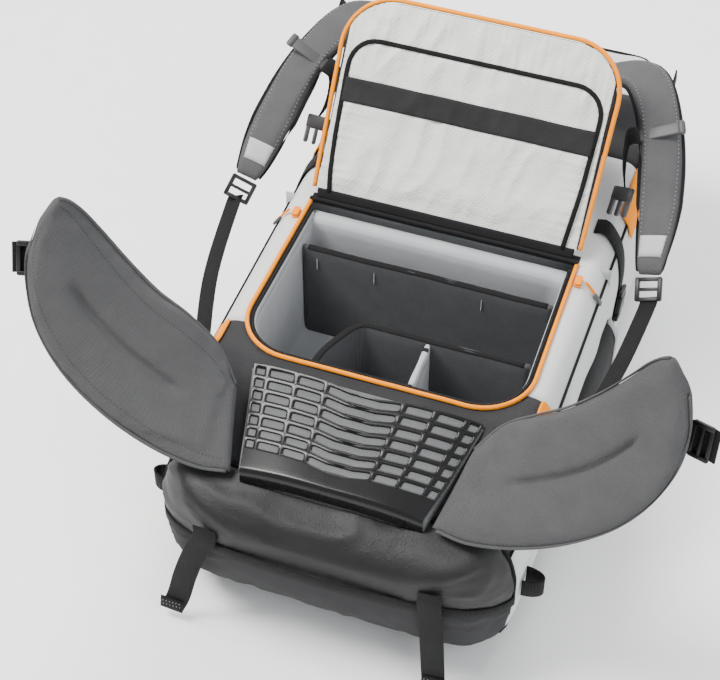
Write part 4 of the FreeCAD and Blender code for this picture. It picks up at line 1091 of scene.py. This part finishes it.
wing_cloth = cloth("wing_knit", (0.072, 0.072, 0.074), thread=1.9, crease=0.8, bump=0.9, contrast=0.2)
webbing_cloth = cloth("black_webbing", (0.009, 0.009, 0.0095), thread=2.0, crease=0.0, bump=1.0,
                      contrast=0.35, roughness=0.75)
buckle_plastic = moulded("buckle_plastic", (0.010, 0.010, 0.0105), roughness=0.38, fine=1800, bump=0.2)
UPPER_STEPS = [(0, 0, 0), (24, 16, 30), (53, 16, 56), (81, 14, 80), (109, 15, 110), (133, 14, 144),
               (153, 8, 180), (163, 1, 199)]
LOWER_STEPS = [(0, 0, 0), (37, -7, 3), (85, -8, 19), (133, -3, 44), (174, 6, 79), (201, 19, 123),
               (212, 39, 173), (206, 54, 212)]
LEFT_LIFT = [0, 4.8, 12, 12, 12, 12, 10.8, 6]
wing_upper_root = np.array([118.7, near_y - 54.4, deck + 8])
wing_lower_root = np.array([102.6, near_y - 119, deck - 39])


def rail(points, count):
    """Evenly spread points along a smooth line through the given ones."""
    fine = np.array(resampled(points, 1.0))
    length = np.concatenate([[0], np.cumsum(np.linalg.norm(np.diff(fine, axis=0), axis=1))])
    return np.array([[np.interp(s, length, fine[:, axis]) for axis in range(3)]
                     for s in np.linspace(0, length[-1], count)])


def cushion_strip(name, first, second, thick, body, material, slot, node, seed, span=(0, 0), pucker=0.6,
                  across=16):
    """A padded strip between two edge lines; its edges are thin, its faces full and creased."""
    count = len(first)
    for index in range(count):
        late = max(0.0, (index / (count - 1) - 0.84) / 0.16)
        middle = (first[index] + second[index]) / 2
        keep = 1 - 0.34 * (1 - math.sqrt(max(0.0, 1 - late * late)))
        first[index] = middle + (first[index] - middle) * keep
        second[index] = middle + (second[index] - middle) * keep
    top, bottom = [], []
    for index in range(count):
        ahead = (first[min(index + 1, count - 1)] + second[min(index + 1, count - 1)]
                 - first[max(index - 1, 0)] - second[max(index - 1, 0)])
        face = unit(np.cross(unit(ahead), unit(second[index] - first[index])))
        end = min(index, count - 1 - index) / 3.0
        end_share = math.sqrt(max(0.0, 1 - (1 - min(1.0, end)) ** 2)) * 0.75 + 0.25
        up_row, down_row = [], []
        for step in range(across + 1):
            share = step / across
            point = first[index] + (second[index] - first[index]) * share
            full = (1 - abs(2 * share - 1) ** 4.5) ** 0.5 * 0.86 + 0.14
            near_edge = max(0.0, 1 - min(share, 1 - share) / 0.16)
            wrinkle = pucker * (ripple(point, 12, seed) * near_edge * 1.6 + 0.9 * ripple(point, 34, seed + 1))
            place = index / (count - 1)
            inside = min(1.0, max(0.0, min(place - span[0], span[1] - place) / 0.07))
            dent = inside * (5.2 * math.exp(-((share - 0.5) / 0.028) ** 2)
                    + 2.6 * math.exp(-((share - 0.5) / 0.1) ** 2))
            half = thick / 2 * full * end_share
            up_row.append(point + face * (half + wrinkle - dent))
            down_row.append(point - face * (half + wrinkle * 0.5 - dent))
        top.append(up_row)
        bottom.append(down_row)
    loops = [up + down[::-1] for up, down in zip(top, bottom)]
    points, faces = loops_mesh(loops)
    made = piece(name, points, faces, body, material, slot, node)
    puffed(made, 4, 0.0016)
    skin = BVHTree.FromPolygons([vertex.co for vertex in made.data.vertices],
                                [tuple(face.vertices) for face in made.data.polygons])
    top, bottom = ([[np.array(skin.find_nearest(Vector(point / 1000))[0]) * 1000 for point in row]
            for row in rows]
                   for rows in (top, bottom))
    return made, top, bottom


for side, hand in ((1, "right"), (-1, "left")):
    mirror = np.array([side, 1, 1])
    upper = [(wing_upper_root + np.array(step) + (np.array([0, 0, LEFT_LIFT[k]]) if side < 0 else 0)) * mirror
             for k, step in enumerate(UPPER_STEPS)]
    lower = [(wing_lower_root + np.array(step)) * mirror for step in LOWER_STEPS]
    upper_line, lower_line = rail(upper, 90), rail(lower, 90)
    _, top, bottom = cushion_strip(f"wing_{hand}_pad", upper_line, lower_line, 14.5, f"wing_{hand}",
                                   wing_cloth,
                                      "foam_grey", f"wing_pad_{hand}", 30, span=(0.2, 0.74), pucker=0.7,
                                      across=40)
    for edge_name, edge_line in (("upper", upper_line), ("lower", lower_line)):
        points, faces = sweep([tuple(p) for p in edge_line[1:-1]], (0.2, 0.3, 1), 3.8, 3.8, round_section(8))
        piece(f"wing_{hand}_{edge_name}_binding", points, faces, f"wing_{hand}", wing_cloth, "foam_grey")
    seam_lines = []
    for share in (0.12, 0.88):
        column = int(round(share * 40))
        seam_lines += [[tuple(row[column] + unit(row[column] - low[column]) * 0.1) for row,
                        low in zip(top[3:-3], bottom[3:-3])]]
    stamp_row(f"wing_{hand}_stitches", seam_lines, 3.6, (0.6, 2.4, 0.6), f"wing_{hand}", webbing_cloth,
              "foam_grey")
    root_line = (np.array(upper[6]) + np.array(lower[6])) / 2
    inner_line = (np.array(upper[5]) + np.array(lower[5])) / 2
    cross = unit(np.array(upper[6]) - np.array(lower[6]))
    along = unit(root_line - inner_line)
    away = unit(np.cross(along, cross) * side)
    if away[2] > 0:
        away = -away
    reach = unit(np.array([side, 0, 0]) - away * away[0] * side)
    wide = np.cross(reach, away)
    start = inner_line + away * 15.5
    loop_path = []
    for k in range(25):
        turn = 2 * math.pi * k / 24
        flat = 31 * math.copysign(abs(math.cos(turn)) ** 0.5, math.cos(turn))
        rise = 5.2 * math.copysign(abs(math.sin(turn)) ** 0.7, math.sin(turn))
        loop_path.append(start + reach * flat + away * rise)
    points, faces = sweep(loop_path[:-1], wide, 33, 1.9, BAND, closed=True)
    piece(f"belt_web_{hand}", points, faces, f"wing_{hand}", webbing_cloth, "webbing_black",
          f"belt_webbing_{hand}")
    tail = [start + reach * step + away * rise for step,
            rise in ((8, 8.2), (24, 8.6), (34, 11.5), (46, 11.8), (56, 10.5))]
    points, faces = sweep(resampled(tail, 3), wide, 33, 1.9, BAND)
    piece(f"belt_tail_{hand}", points, faces, f"wing_{hand}", webbing_cloth, "webbing_black")

# ---- Ladder locks ----------------------------------------------------------------------------
# Small moulded webbing adjusters on the belt and the strap tips: a rounded frame, three bars,
# a lifted front lip.


def bar(points, faces, centre, axes, size, round_by):
    """Adds one rounded bar to a plastic part."""
    start = len(points)
    steps = 6
    for level, shrink in ((-1, round_by), (-0.86, 0), (0.86, 0), (1, round_by)):
        for k in range(4 * steps):
            turn = 2 * math.pi * (k + 0.5) / (4 * steps)
            cx, cy = math.cos(turn), math.sin(turn)
            x = math.copysign(abs(cx) ** 0.4, cx) * max(0.2, size[0] / 2 - shrink)
            y = math.copysign(abs(cy) ** 0.4, cy) * max(0.2, size[1] / 2 - shrink)
            points.append(np.array(centre) + axes[0] * x + axes[1] * y + axes[2] * (level * size[2] / 2))
    count = 4 * steps
    for level in range(3):
        here, there = start + level * count, start + (level + 1) * count
        faces.extend([(here + k, here + (k + 1) % count, there + (k + 1) % count,
                       there + k) for k in range(count)])
    faces.append([start + k for k in range(count)][::-1])
    faces.append([start + 3 * count + k for k in range(count)])


def lock_frame(name, centre, across, along, wide, long, thick, body, node):
    """A ladder lock with its frame sides and bars, centred in space and facing out."""
    out = np.cross(across, along)
    points, faces = [], []
    for step in (-1, 1):
        bar(points, faces, centre + across * step * (wide / 2 - 2.3), (across, out, along),
            (4.6, thick, long), 0.8)
    for step, size in ((-0.42, 4.0), (0.0, 3.4), (0.42, 4.4)):
        bar(points, faces, centre + along * step * long + out * (0.5 if step > 0.3 else 0),
            (along, out, across),
            (size, thick * 0.8, wide - 4), 0.8)
    return piece(name, points, faces, body, buckle_plastic, "buckle_plastic", node)


for side, hand in ((1, "right"), (-1, "left")):
    lock_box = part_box(f"belt_ladder_lock_{hand}")
    middle = np.array((lock_box[0] + lock_box[1]) / 2) * 1000
    mirror = np.array([side, 1, 1])
    root_line = (wing_upper_root + np.array(UPPER_STEPS[6]) + wing_lower_root
            + np.array(LOWER_STEPS[6])) / 2 * mirror
    inner_line = (wing_upper_root + np.array(UPPER_STEPS[5]) + wing_lower_root
            + np.array(LOWER_STEPS[5])) / 2 * mirror
    cross = unit((wing_upper_root + np.array(UPPER_STEPS[6]) - wing_lower_root - np.array(LOWER_STEPS[6])) * mirror)
    away = unit(np.cross(unit(root_line - inner_line), cross) * side)
    away = -away if away[2] > 0 else away
    reach = unit(np.array([side, 0, 0]) - away * away[0] * side)
    lock_frame(f"belt_lock_{hand}", middle, unit(np.cross(reach, away)), reach, 37, 21, 3.8, f"wing_{hand}",
               f"belt_ladder_lock_{hand}")

# ---- Shoulder harness ------------------------------------------------------------------------
# A padded yoke under the lid's free edge carries two curved foam straps with bound edges, a row
# of stitch dots and pale reflective tips.

strap_cloth = cloth("strap_mesh", (0.080, 0.080, 0.083), thread=2.2, crease=0.6, bump=1.0, contrast=0.2,
                    roughness=0.9)
reflective = cloth("pale_tip", (0.42, 0.425, 0.43), thread=1.0, crease=0.3, bump=0.3, contrast=0.08,
                   roughness=0.45)
yoke_y = hood_seam - 50
yoke_rings = []
for inset, height in ((4, 0.4), (0.6, 2.5), (0.4, 6), (1.8, 10), (6, 11.4), (16, 11.8), (30, 11.8)):
    loop = []
    for turn in np.linspace(0, 2 * math.pi, 88, endpoint=False):
        cx, cy = math.cos(turn), math.sin(turn)
        x = math.copysign(abs(cx) ** 0.3, cx) * (88.5 - inset)
        y = math.copysign(abs(cy) ** 0.4, cy) * (32.8 - inset)
        loop.append((x, yoke_y + y, deck + height + (0.7 * ripple((x, y, 0), 22, 41) if height > 9 else 0)))
    yoke_rings.append(loop)
points, faces = loops_mesh(yoke_rings)
yoke = piece("yoke_cushion", points, faces, "pack", strap_cloth, "foam_grey", "harness_yoke")
puffed(yoke, 4, 0.0016)

STRAP_LINE = [(67, yoke_y, deck + 18.7), (half_width - 68, yoke_y - 6, deck + 66),
              (half_width - 22, yoke_y - 42, deck + 101),
              (half_width + 10, yoke_y - 104, deck + 84), (half_width + 28, yoke_y - 168, deck + 44),
              (half_width + 37, yoke_y - 232, deck + 10)]
STRAP_HINTS = [(0, 1, 0), (0.35, 0.9, 0), (0.8, 0.55, 0.1), (0.87, 0.2, 0.4), (0.87, 0.1, 0.45),
               (0.9, 0, 0.4)]
STRAP_WIDTHS = [58, 60, 56, 52, 50, 38]
AWAY = unit((0.20, -0.80, -0.56))
for side, hand in ((1, "right"), (-1, "left")):
    mirror = np.array([side, 1, 1])
    centres = rail(STRAP_LINE, 64)
    hints = rail([tuple(np.array(hint) * 100) for hint in STRAP_HINTS], 64)
    share = np.linspace(0, 5, 64)
    widths = 0.88 * np.interp(share, range(6), STRAP_WIDTHS)
    edge_a, edge_b = [], []
    for index, centre in enumerate(centres):
        ahead = unit(centres[min(index + 1, 63)] - centres[max(index - 1, 0)])
        across = unit(hints[index] - ahead * np.dot(hints[index], ahead))
        edge_a.append((centre + across * widths[index] / 2) * mirror)
        edge_b.append((centre - across * widths[index] / 2) * mirror)
    edge_a, edge_b = np.array(edge_a), np.array(edge_b)
    _, top, bottom = cushion_strip(f"strap_{hand}_pad", edge_a, edge_b, 12.5, f"strap_{hand}",
                                       strap_cloth, "foam_grey", f"strap_pad_{hand}", 42, pucker=0.6)
    for edge_name, edge_line in (("outer", edge_a), ("inner", edge_b)):
        points, faces = sweep([tuple(p) for p in edge_line[1:-1]], AWAY * mirror, 4.6, 4.6, round_section(8))
        piece(f"strap_{hand}_{edge_name}_binding", points, faces, f"strap_{hand}", binding_cloth,
              "binding_black")
    dots = [[tuple(row[column] + unit(row[column] - low[column]) * 0.15) for row,
             low in zip(rows_a[3:-3], rows_b[3:-3])]
            for column in (2, 14) for rows_a, rows_b in ((top, bottom), (bottom, top))]
    stamp_row(f"strap_{hand}_stitches", dots, 4.6, (1.2, 1.8, 1.0), f"strap_{hand}", thread_light,
              "foam_grey")
    tip_top = [[p + unit(p - q) * 0.7 for p, q in zip(up[2:15], down[2:15])] for up,
               down in zip(top[56:61], bottom[56:61])]
    tip_low = [[q + unit(q - p) * 0.7 for p, q in zip(up[2:15], down[2:15])] for up,
               down in zip(top[56:61], bottom[56:61])]
    for label, rows_of in (("face", tip_top), ("back", tip_low)):
        points = [point for row in rows_of for point in row]
        faces = [(r * 13 + c, r * 13 + c + 1, (r + 1) * 13 + c + 1,
                  (r + 1) * 13 + c) for r in range(4) for c in range(12)]
        thicken(piece(f"strap_{hand}_tip_{label}", points, faces, f"strap_{hand}", reflective,
                      "shell_light"), 0.6)
    tip = np.array(STRAP_LINE[-1]) * mirror
    away = AWAY * mirror
    hint = np.array(STRAP_HINTS[-1]) * mirror
    across = unit(hint - away * np.dot(hint, away))
    lock_frame(f"strap_lock_{hand}", tip + away * 15.1, across, away, 29, 25, 4.6, f"strap_{hand}",
               f"strap_ladder_lock_{hand}")

# ---- Harness webbing -------------------------------------------------------------------------
# Flat black webbing: lower adjusters from the strap tips to the sides, load lifters at the top,
# and the ribbed weave of each.


def tape(name, lines, across, width, thick, body, *nodes, material=None, slot="webbing_black"):
    """Flat woven tape along one or more lines."""
    all_points, all_faces = [], []
    for line in lines:
        path = resampled(line, 4)
        points, faces = sweep(path, across if not callable(across) else [across(p) for p in path], width,
                              thick, BAND)
        all_faces += [[index + len(all_points) for index in face] for face in faces]
        all_points += points
    return piece(name, all_points, all_faces, body, material or webbing_cloth, slot, *nodes)


tip = np.array(STRAP_LINE[-1])
low_start = tip + AWAY * 24
low_lines = []
lift_lines = []
for side in (1, -1):
    mirror = np.array([side, 1, 1])
    middle = (low_start + np.array([188.3, -186, 186])) / 2 + np.array([9, 0, 0])
    low_lines.append([tuple(np.array(p) * mirror) for p in
                      (low_start, low_start + AWAY * 8, middle, (188.3, near_y + 4, deck - 52),
                       (188.3, near_y - 22, deck - 56))])
    lift_lines.append([tuple(np.array(p) * mirror) for p in
                       ((189.5, 243, 337), (188, 262, 312), (184, 282, 288), (168, 297, 262),
                        (151, 305, deck + 2.2))])
tape("lower_adjuster_webbing", low_lines, (0.9, 0, 0.4), 19, 1.7, "pack", "lower_webbing")
tape("load_lifters", lift_lines, (0, 0.8, 0.55), 19, 1.7, "pack", "load_lifter_webbing")

# ---- Sternum strap halves --------------------------------------------------------------------
# A slider bar on each shoulder strap with a wrap of webbing that hangs down to half of a
# side-release buckle.

grey_plastic = moulded("grey_buckle", (0.06, 0.06, 0.063), roughness=0.4, fine=1800, bump=0.2)
for side, hand in ((1, "right"), (-1, "left")):
    mirror = np.array([side, 1, 1])
    station, before, after = (np.array(STRAP_LINE[k]) for k in (3, 2, 4))
    ahead = unit(after - before)
    hint = np.array(STRAP_HINTS[3])
    across = unit(hint - ahead * np.dot(hint, ahead))
    face = unit(np.cross(across, ahead))
    if face[2] < 0:
        face = -face
    clip_centre = station + face * 9.9
    points, faces = [], []
    bar(points, faces, clip_centre * mirror, (ahead * mirror, face * mirror, across * mirror),
        (13, 4.6, 58), 1.2)
    for step in (-1, 1):
        bar(points, faces, (clip_centre + across * step * 25) * mirror,
            (ahead * mirror, face * mirror, across * mirror),
            (15, 6.0, 7), 1.2)
    edge = clip_centre - across * 29
    drop = [edge + across * 10 + face * 2.8, edge + np.array([-2, 0, 0]) + face * 1.5,
            edge + np.array([-3, -6, -18]),
            edge + np.array([0, -17, -34]), edge + np.array([5, -28, -44])]
    web_points, web_faces = sweep(resampled([tuple(p * mirror) for p in drop], 3), tuple(ahead * mirror),
                                  19, 1.7, BAND)
    piece(f"sternum_{hand}_webbing", web_points, web_faces, f"sternum_{hand}", webbing_cloth, "webbing_black")
    down = unit((-0.05, -0.8, -0.6))
    flat = unit(ahead - down * np.dot(ahead, down))
    out = np.cross(down, flat)
    buckle_centre = drop[-1] + down * 15
    axes = (flat * mirror, out * mirror, down * mirror)
    bar(points, faces, (buckle_centre - down * 8) * mirror, axes, (25, 6.4, 15), 1.4)
    for step in (-1, 1):
        bar(points, faces, (buckle_centre + flat * step * 9.5 + down * 7) * mirror, axes, (4.6, 5.6, 18), 1.2)
    bar(points, faces, (buckle_centre + down * 8) * mirror, axes, (4.2, 4.4, 17), 1.0)
    piece(f"sternum_{hand}_hardware", points, faces, f"sternum_{hand}", grey_plastic, "buckle_plastic",
          f"sternum_strap_{hand}")

# ---- Haul handle -----------------------------------------------------------------------------
# A loop of webbing at the top of the back, sewn down at both ends.

handle_y = cad_mm("haul_handle", 0, 1) * 0.5 + cad_mm("haul_handle", 1, 1) * 0.5
tape("haul_loop",
     [[(-52, handle_y, deck + 4.6), (-44, handle_y, deck + 10), (-28, handle_y, deck + 20),
       (0, handle_y, deck + 23.5),
                    (28, handle_y, deck + 20), (44, handle_y, deck + 10), (52, handle_y, deck + 4.6)]],
     (0, 1, 0), 11.6, 2.4, "handle", "haul_handle")

# ---- Side pockets and side straps ------------------------------------------------------------
# Stretch pockets low on each side with a pale bound mouth, gathered along their lower seams; a
# compression strap with a buckle above each.

stretch = cloth("stretch_knit", (0.030, 0.030, 0.031), thread=1.5, crease=0.9, bump=0.8, contrast=0.35,
                roughness=0.9)
pocket_low, pocket_high = near_y + 5, cad_mm("side_pocket_right", 1, 1)
floor_z, top_z = cad_mm("side_pocket_right", 0, 2), cad_mm("side_pocket_right", 1, 2)
for side, hand in ((1, "right"), (-1, "left")):
    points = []
    count_y, count_z = 54, 34
    for c in range(count_y + 1):
        y_share = c / count_y
        for r in range(count_z + 1):
            z_share = r / count_z
            edge = min(1.0, min(z_share, 1 - z_share) / 0.16) ** 0.5 * min(1.0, y_share / 0.12) ** 0.5
            y = pocket_low + (pocket_high - pocket_low) * y_share
            z = floor_z + (top_z - floor_z) * z_share
            gather = 1.1 * ripple((y, z * 2.2, 0), 20, 51) * edge + 0.8 * ripple((y * 2, z, 3), 14,
                                                                                 52) * (1 - edge * 0.6)
            points.append((side * (half_width + 0.9 + 13.2 * edge + gather), y, z))
    faces = [(c * (count_z + 1) + r, c * (count_z + 1) + r + 1, (c + 1) * (count_z + 1) + r + 1,
              (c + 1) * (count_z + 1) + r)
             for c in range(count_y) for r in range(count_z)]
    pocket = piece(f"side_pocket_{hand}_cloth", points, faces, "pack", stretch, "stretch_grey",
                   f"side_pocket_{hand}")
    thicken(pocket, 1.4)
    mouth = [(side * (half_width + 1.4 + 13.2 * min(1.0, min(s, 1 - s) / 0.16) ** 0.5), pocket_high - 1.4,
              floor_z + (top_z - floor_z) * s) for s in np.linspace(0.005, 0.995, 40)]
    points, faces = sweep(mouth, (0, 1, 0), 9, 2.6, round_section(8))
    piece(f"side_pocket_{hand}_binding", points, faces, "pack", liner_cloth, "shell_light")

strap_profile = [(151, 97, deck + 1.3), (164, 97, deck + 1.3), (179.6, 96, 214.7), (186.8, 89, 185),
                 (187.4, 77, 146), (187.4, 67, 114)]
tape("compression_webbing", [[(side * x, y, z) for x, y, z in strap_profile] for side in (1, -1)],
     (0, 1, 0.12), 19.4, 1.7,
     "pack", "compression_straps")
points, faces = [], []
for side in (1, -1):
    centre = np.array([side * 191.0, 80, 154])
    lean = unit((0, 0.32, 1))
    level_axis = unit(np.cross((1, 0, 0), lean))
    out = np.array([1.0, 0, 0])
    bar(points, faces, centre, (level_axis, out, lean), (26, 6.2, 20), 1.4)
    bar(points, faces, centre - lean * 15, (level_axis, out, lean), (24, 4.6, 8), 1.0)
    bar(points, faces, centre + lean * 14, (level_axis, out, lean), (24, 4.6, 5), 1.0)
piece("compression_hardware", points, faces, "pack", buckle_plastic, "buckle_plastic", "compression_buckles")

# ---- Seam cords ------------------------------------------------------------------------------
# Dark bound seams where the side panels meet the back and front panels, where the boot meets the
# body, and round the hood's upper edge.

seam_rows = range(seam_row, hood_row + 1, 2)
seam_points, seam_faces = [], []
for column in (back_seam, last_back, front_seam, last_side):
    line = [tuple(form[row, column] + outward[row, column] * 0.6) for row in seam_rows]
    points, faces = sweep(line, (0, 0, 1), 3.4, 3.4, round_section(8))
    seam_faces += [[index + len(seam_points) for index in face] for face in faces]
    seam_points += points
ring = [tuple(form[seam_row, column % around] + outward[seam_row, column % around] * 0.8) for column in
        range(boot_seam, last_boot + 1, 2)]
points, faces = sweep(ring, (0, 1, 0), 3.6, 3.6, round_section(8))
seam_faces += [[index + len(seam_points) for index in face] for face in faces]
seam_points += points
piece("seam_cords", seam_points, seam_faces, "pack", binding_cloth, "binding_black")
edge_row = len(places) - 3
ring = [tuple(form[edge_row, column % around] + outward[edge_row,
                                                        column % around] * 3.2) for column in range(0,
                                                                around, 2)]
points, faces = sweep(ring, (0, 1, 0), 3.6, 3.6, round_section(8), closed=True)
piece("hood_seam_cord", points, faces, "hood", binding_cloth, "binding_black")

# ---- Sewn trims ------------------------------------------------------------------------------
# Orange side accents, orange tabs beside the rim, the boot's webbing binding, ice-axe loops and
# base straps with folded, stitched ends.

bright = cloth("orange_accent", (0.95, 0.27, 0.0), thread=1.0, crease=0.6, bump=0.4, contrast=0.12)
accent_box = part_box("side_accents")
accent_low, accent_high = np.array(accent_box[0]) * 1000, np.array(accent_box[1]) * 1000
accent_points, accent_faces = [], []
for side in (1, -1):
    start = len(accent_points)
    for r in range(8):
        for c in range(28):
            y = accent_low[1] + (accent_high[1] - accent_low[1]) * c / 27
            z = accent_low[2] + (accent_high[2] - accent_low[2]) * r / 7
            lean = max(0.0, z - (deck - 53)) * 7 / 29 if z < deck - 24 else 7 + (z - deck + 24) * 0.62
            accent_points.append((side * (half_width - lean + 3.4 + 0.5 * ripple((y, z, 0), 16, 55)), y, z))
    accent_faces += [(start + r * 28 + c, start + r * 28 + c + 1, start + (r + 1) * 28 + c + 1,
                      start + (r + 1) * 28 + c)
                     for r in range(7) for c in range(27)]
accents = piece("side_accent_cloth", accent_points, accent_faces, "pack", bright, "accent_orange",
                "side_accents")
thicken(accents, 1.0)

tab_points, tab_faces = [], []
for side in (1, -1):
    centre = np.array([side * 168.8, -170, 229.6])
    lean = math.radians(57)
    outer = unit((side * math.sin(lean), 0, math.cos(lean)))
    drop = unit((side * math.cos(lean), 0, -math.sin(lean)))
    bar(tab_points, tab_faces, centre, (np.array([0, 1.0, 0]), drop, outer), (33, 21, 2.8), 0.5)
piece("rim_pull_tabs", tab_points, tab_faces, "pack", bright, "accent_orange", "rim_tabs")

binding_row = boot_seam % around
edge_line = [form[row, binding_row] + outward[row, binding_row] * 1.8 for row in range(seam_row, -1, -1)]
far_line = [form[row, last_boot] + outward[row, last_boot] * 1.8 for row in range(0, seam_row + 1)]
bridge = [tuple(edge_line[-1] * (1 - s) + far_line[0] * s + np.array([0, -3.0 * math.sin(math.pi * s),
                                                                      0])) for s in
          np.linspace(0.06, 0.94, 20)]
tape("boot_binding", [[tuple(p) for p in edge_line[::2]] + bridge + [tuple(p) for p in far_line[::2]]],
     (0, 0, 1), 13, 2.4,
     "pack", "base_binding", slot="binding_black")

loop_lines = []
for side in (1, -1):
    loop = []
    for k in range(21):
        turn = math.pi * k / 20
        loop.append((side * (half_width + 1.5 + 20 * math.sin(turn)), -270 - 9 * math.cos(turn), 103))
    loop_lines.append(loop)
tape("ice_axe_loops", loop_lines, (0, 0, 1), 24, 2.0, "pack", "axe_loops")
for side, hand, splay in ((1, "right", 4), (-1, "left", 16)):
    top_x, low_x = side * 115, side * (115 + 2.6 * splay)
    path = [(top_x, base_end + 1, 154), (top_x, base_end - 2, 142),
            (top_x + (low_x - top_x) * 0.25, base_end - 3, 118),
            (top_x + (low_x - top_x) * 0.55, base_end - 5, 78),
            (top_x + (low_x - top_x) * 0.8, base_end - 6, 36), (low_x, base_end - 8, 13)]
    tape(f"base_strap_{hand}_webbing", [path], (1, 0, 0.12 * side), 24.4, 1.8, f"base_strap_{hand}",
         f"base_strap_{hand}")
    fold = [(path[-1][0], path[-1][1] - 2.1, 12.6),
            (path[-2][0] * 0.12 + path[-1][0] * 0.88, base_end - 9.6, 22),
            (path[-1][0] * 0.8 + path[-2][0] * 0.2, base_end - 9.2, 30)]
    tape(f"base_strap_{hand}_fold", [fold], (1, 0, 0.12 * side), 24.4, 1.6, f"base_strap_{hand}")
    stamp_row(f"base_strap_{hand}_stitches",
              [[(fold[1][0] - 9, fold[1][1] - 1.1, 26), (fold[1][0] + 9, fold[1][1] - 1.1, 26)],
              [(fold[1][0] - 9, fold[1][1] - 1.1, 20), (fold[1][0] + 9, fold[1][1] - 1.1, 20)]], 3.0,
              (0.7, 2.2, 0.7),
              f"base_strap_{hand}", thread_light, "webbing_black")

# ---- Zip sliders and hood zip ----------------------------------------------------------------
# Two sliders on the rim zip with orange cord pulls and a rubber end, and a short black zip
# across the hood with its own slider.

for side, hand in ((1, "right"), (-1, "left")):
    points, faces = [], []
    x_axis, y_axis, z_axis = np.eye(3)
    bar(points, faces, (side * 154.9, 10, deck + 1.4), (x_axis, y_axis, z_axis), (7.6, 13.4, 1.8), 0.8)
    bar(points, faces, (side * 154.9, 10, deck + 4.6), (x_axis, y_axis, z_axis), (7.4, 12.6, 1.8), 0.8)
    bar(points, faces, (side * 154.9, 12.5, deck + 3.0), (x_axis, y_axis, z_axis), (2.4, 4.4, 3.2), 0.5)
    piece(f"rim_slider_{hand}", points, faces, f"zip_slider_{hand}", orange, "accent_orange",
          f"zip_slider_{hand}")
    box_low, box_high = (np.array(corner) * 1000 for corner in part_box(f"zip_pull_{hand}"))
    inner_x = box_low[0] if side > 0 else box_high[0]
    outer_x = box_high[0] if side > 0 else box_low[0]
    top_point = np.array([inner_x + side * 1.4, 10, box_high[2] - 1.5])
    low_point = np.array([outer_x - side * 1.6, 10, box_low[2] + 2.0])
    cord = [tuple(top_point * (1 - s) + low_point * s + np.array([0, 1.6 * math.sin(math.pi * s),
                                                                  0])) for s in
            np.linspace(0, 0.62, 14)]
    cord_points, cord_faces = sweep(cord, (0, 1, 0), 3.4, 2.6, round_section(8))
    piece(f"rim_pull_cord_{hand}", cord_points, cord_faces, f"zip_pull_{hand}", orange, "accent_orange",
          f"zip_pull_{hand}")
    points, faces = [], []
    drop = unit(low_point - top_point)
    out = unit(np.cross(drop, (0, 1, 0)))
    bar(points, faces, top_point * 0.2 + low_point * 0.8, (y_axis, out, drop), (5.8, 2.8, 15), 0.8)
    piece(f"rim_pull_grip_{hand}", points, faces, f"zip_pull_{hand}", grey_plastic, "buckle_plastic")
zip_y = (cad_mm("hood_zip", 0, 1) + cad_mm("hood_zip", 1, 1)) / 2
hood_top = deck + 1.6
tape("hood_zip_band", [[(x, zip_y, hood_top) for x in np.linspace(-92, 92, 24)]], (0, 1, 0), 9, 1.0, "hood",
     "hood_zip",
     material=zip_cloth, slot="zip_black")
stamp_row("hood_zip_teeth", [[(-90, zip_y, hood_top + 0.8), (90, zip_y, hood_top + 0.8)]], 1.6,
          (2.8, 1.3, 1.0), "hood",
          zip_teeth, "zip_black")
points, faces = [], []
bar(points, faces, (-83, zip_y, deck + 3.6), (y_axis, x_axis, z_axis), (7.4, 12.6, 2.4), 0.9)
bar(points, faces, (-83, zip_y, deck + 5.6), (y_axis, x_axis, z_axis), (3.4, 8.0, 2.0), 0.6)
piece("hood_slider_body", points, faces, "hood_slider", buckle_plastic, "buckle_plastic", "hood_zip_slider")

# ---- Floor, camera and light -----------------------------------------------------------------
# A plain pale floor, soft light from above and the left, and a high three-quarter view from the
# base end.

floor_cloth = moulded("pale_floor", (0.95, 0.95, 0.945), roughness=0.8, fine=200, bump=0.02, contrast=0.01)
bpy.ops.mesh.primitive_plane_add(size=12, location=(0, 0, -0.001))
floor = bpy.context.object
floor.name = "studio_floor"
floor.data.materials.append(floor_cloth)
for name, place, size, power, tint in (
        ("key", (-1.3, -0.5, 2.6), 1.2, 150, (1.0, 0.985, 0.96)),
        ("fill", (2.0, -1.2, 1.8), 2.2, 40, (0.95, 0.975, 1.0)),
        ("back", (0.2, 2.2, 2.2), 1.8, 85, (1.0, 1.0, 1.0))):
    light = bpy.data.lights.new(name, "AREA")
    light.size = size
    light.energy = power
    light.color = tint
    lamp = bpy.data.objects.new(name, light)
    lamp.location = place
    lamp.rotation_euler = (Vector((0, 0, 0.2)) - lamp.location).to_track_quat("-Z", "Y").to_euler()
    bpy.context.scene.collection.objects.link(lamp)
world = bpy.data.worlds.new("studio")
world.use_nodes = True
world.node_tree.nodes["Background"].inputs["Color"].default_value = (0.92, 0.94, 0.96, 1)
world.node_tree.nodes["Background"].inputs["Strength"].default_value = 0.75
bpy.context.scene.world = world
lens = bpy.data.cameras.new("view")
lens.lens = 90.7
lens.sensor_width = 36
lens.clip_end = 50
viewer = bpy.data.objects.new("view", lens)
bpy.context.scene.collection.objects.link(viewer)
azimuth, elevation = math.radians(19.5), math.radians(47.6)
right = Vector((math.cos(azimuth), math.sin(azimuth), 0))
forward = Vector((-math.sin(azimuth) * math.cos(elevation), math.cos(azimuth) * math.cos(elevation),
                  -math.sin(elevation)))
above = right.cross(forward)
viewer.matrix_world = Matrix((right, above, -forward)).transposed().to_4x4()
viewer.location = (0.3773, -1.2895, 1.5746)
bpy.context.scene.camera = viewer
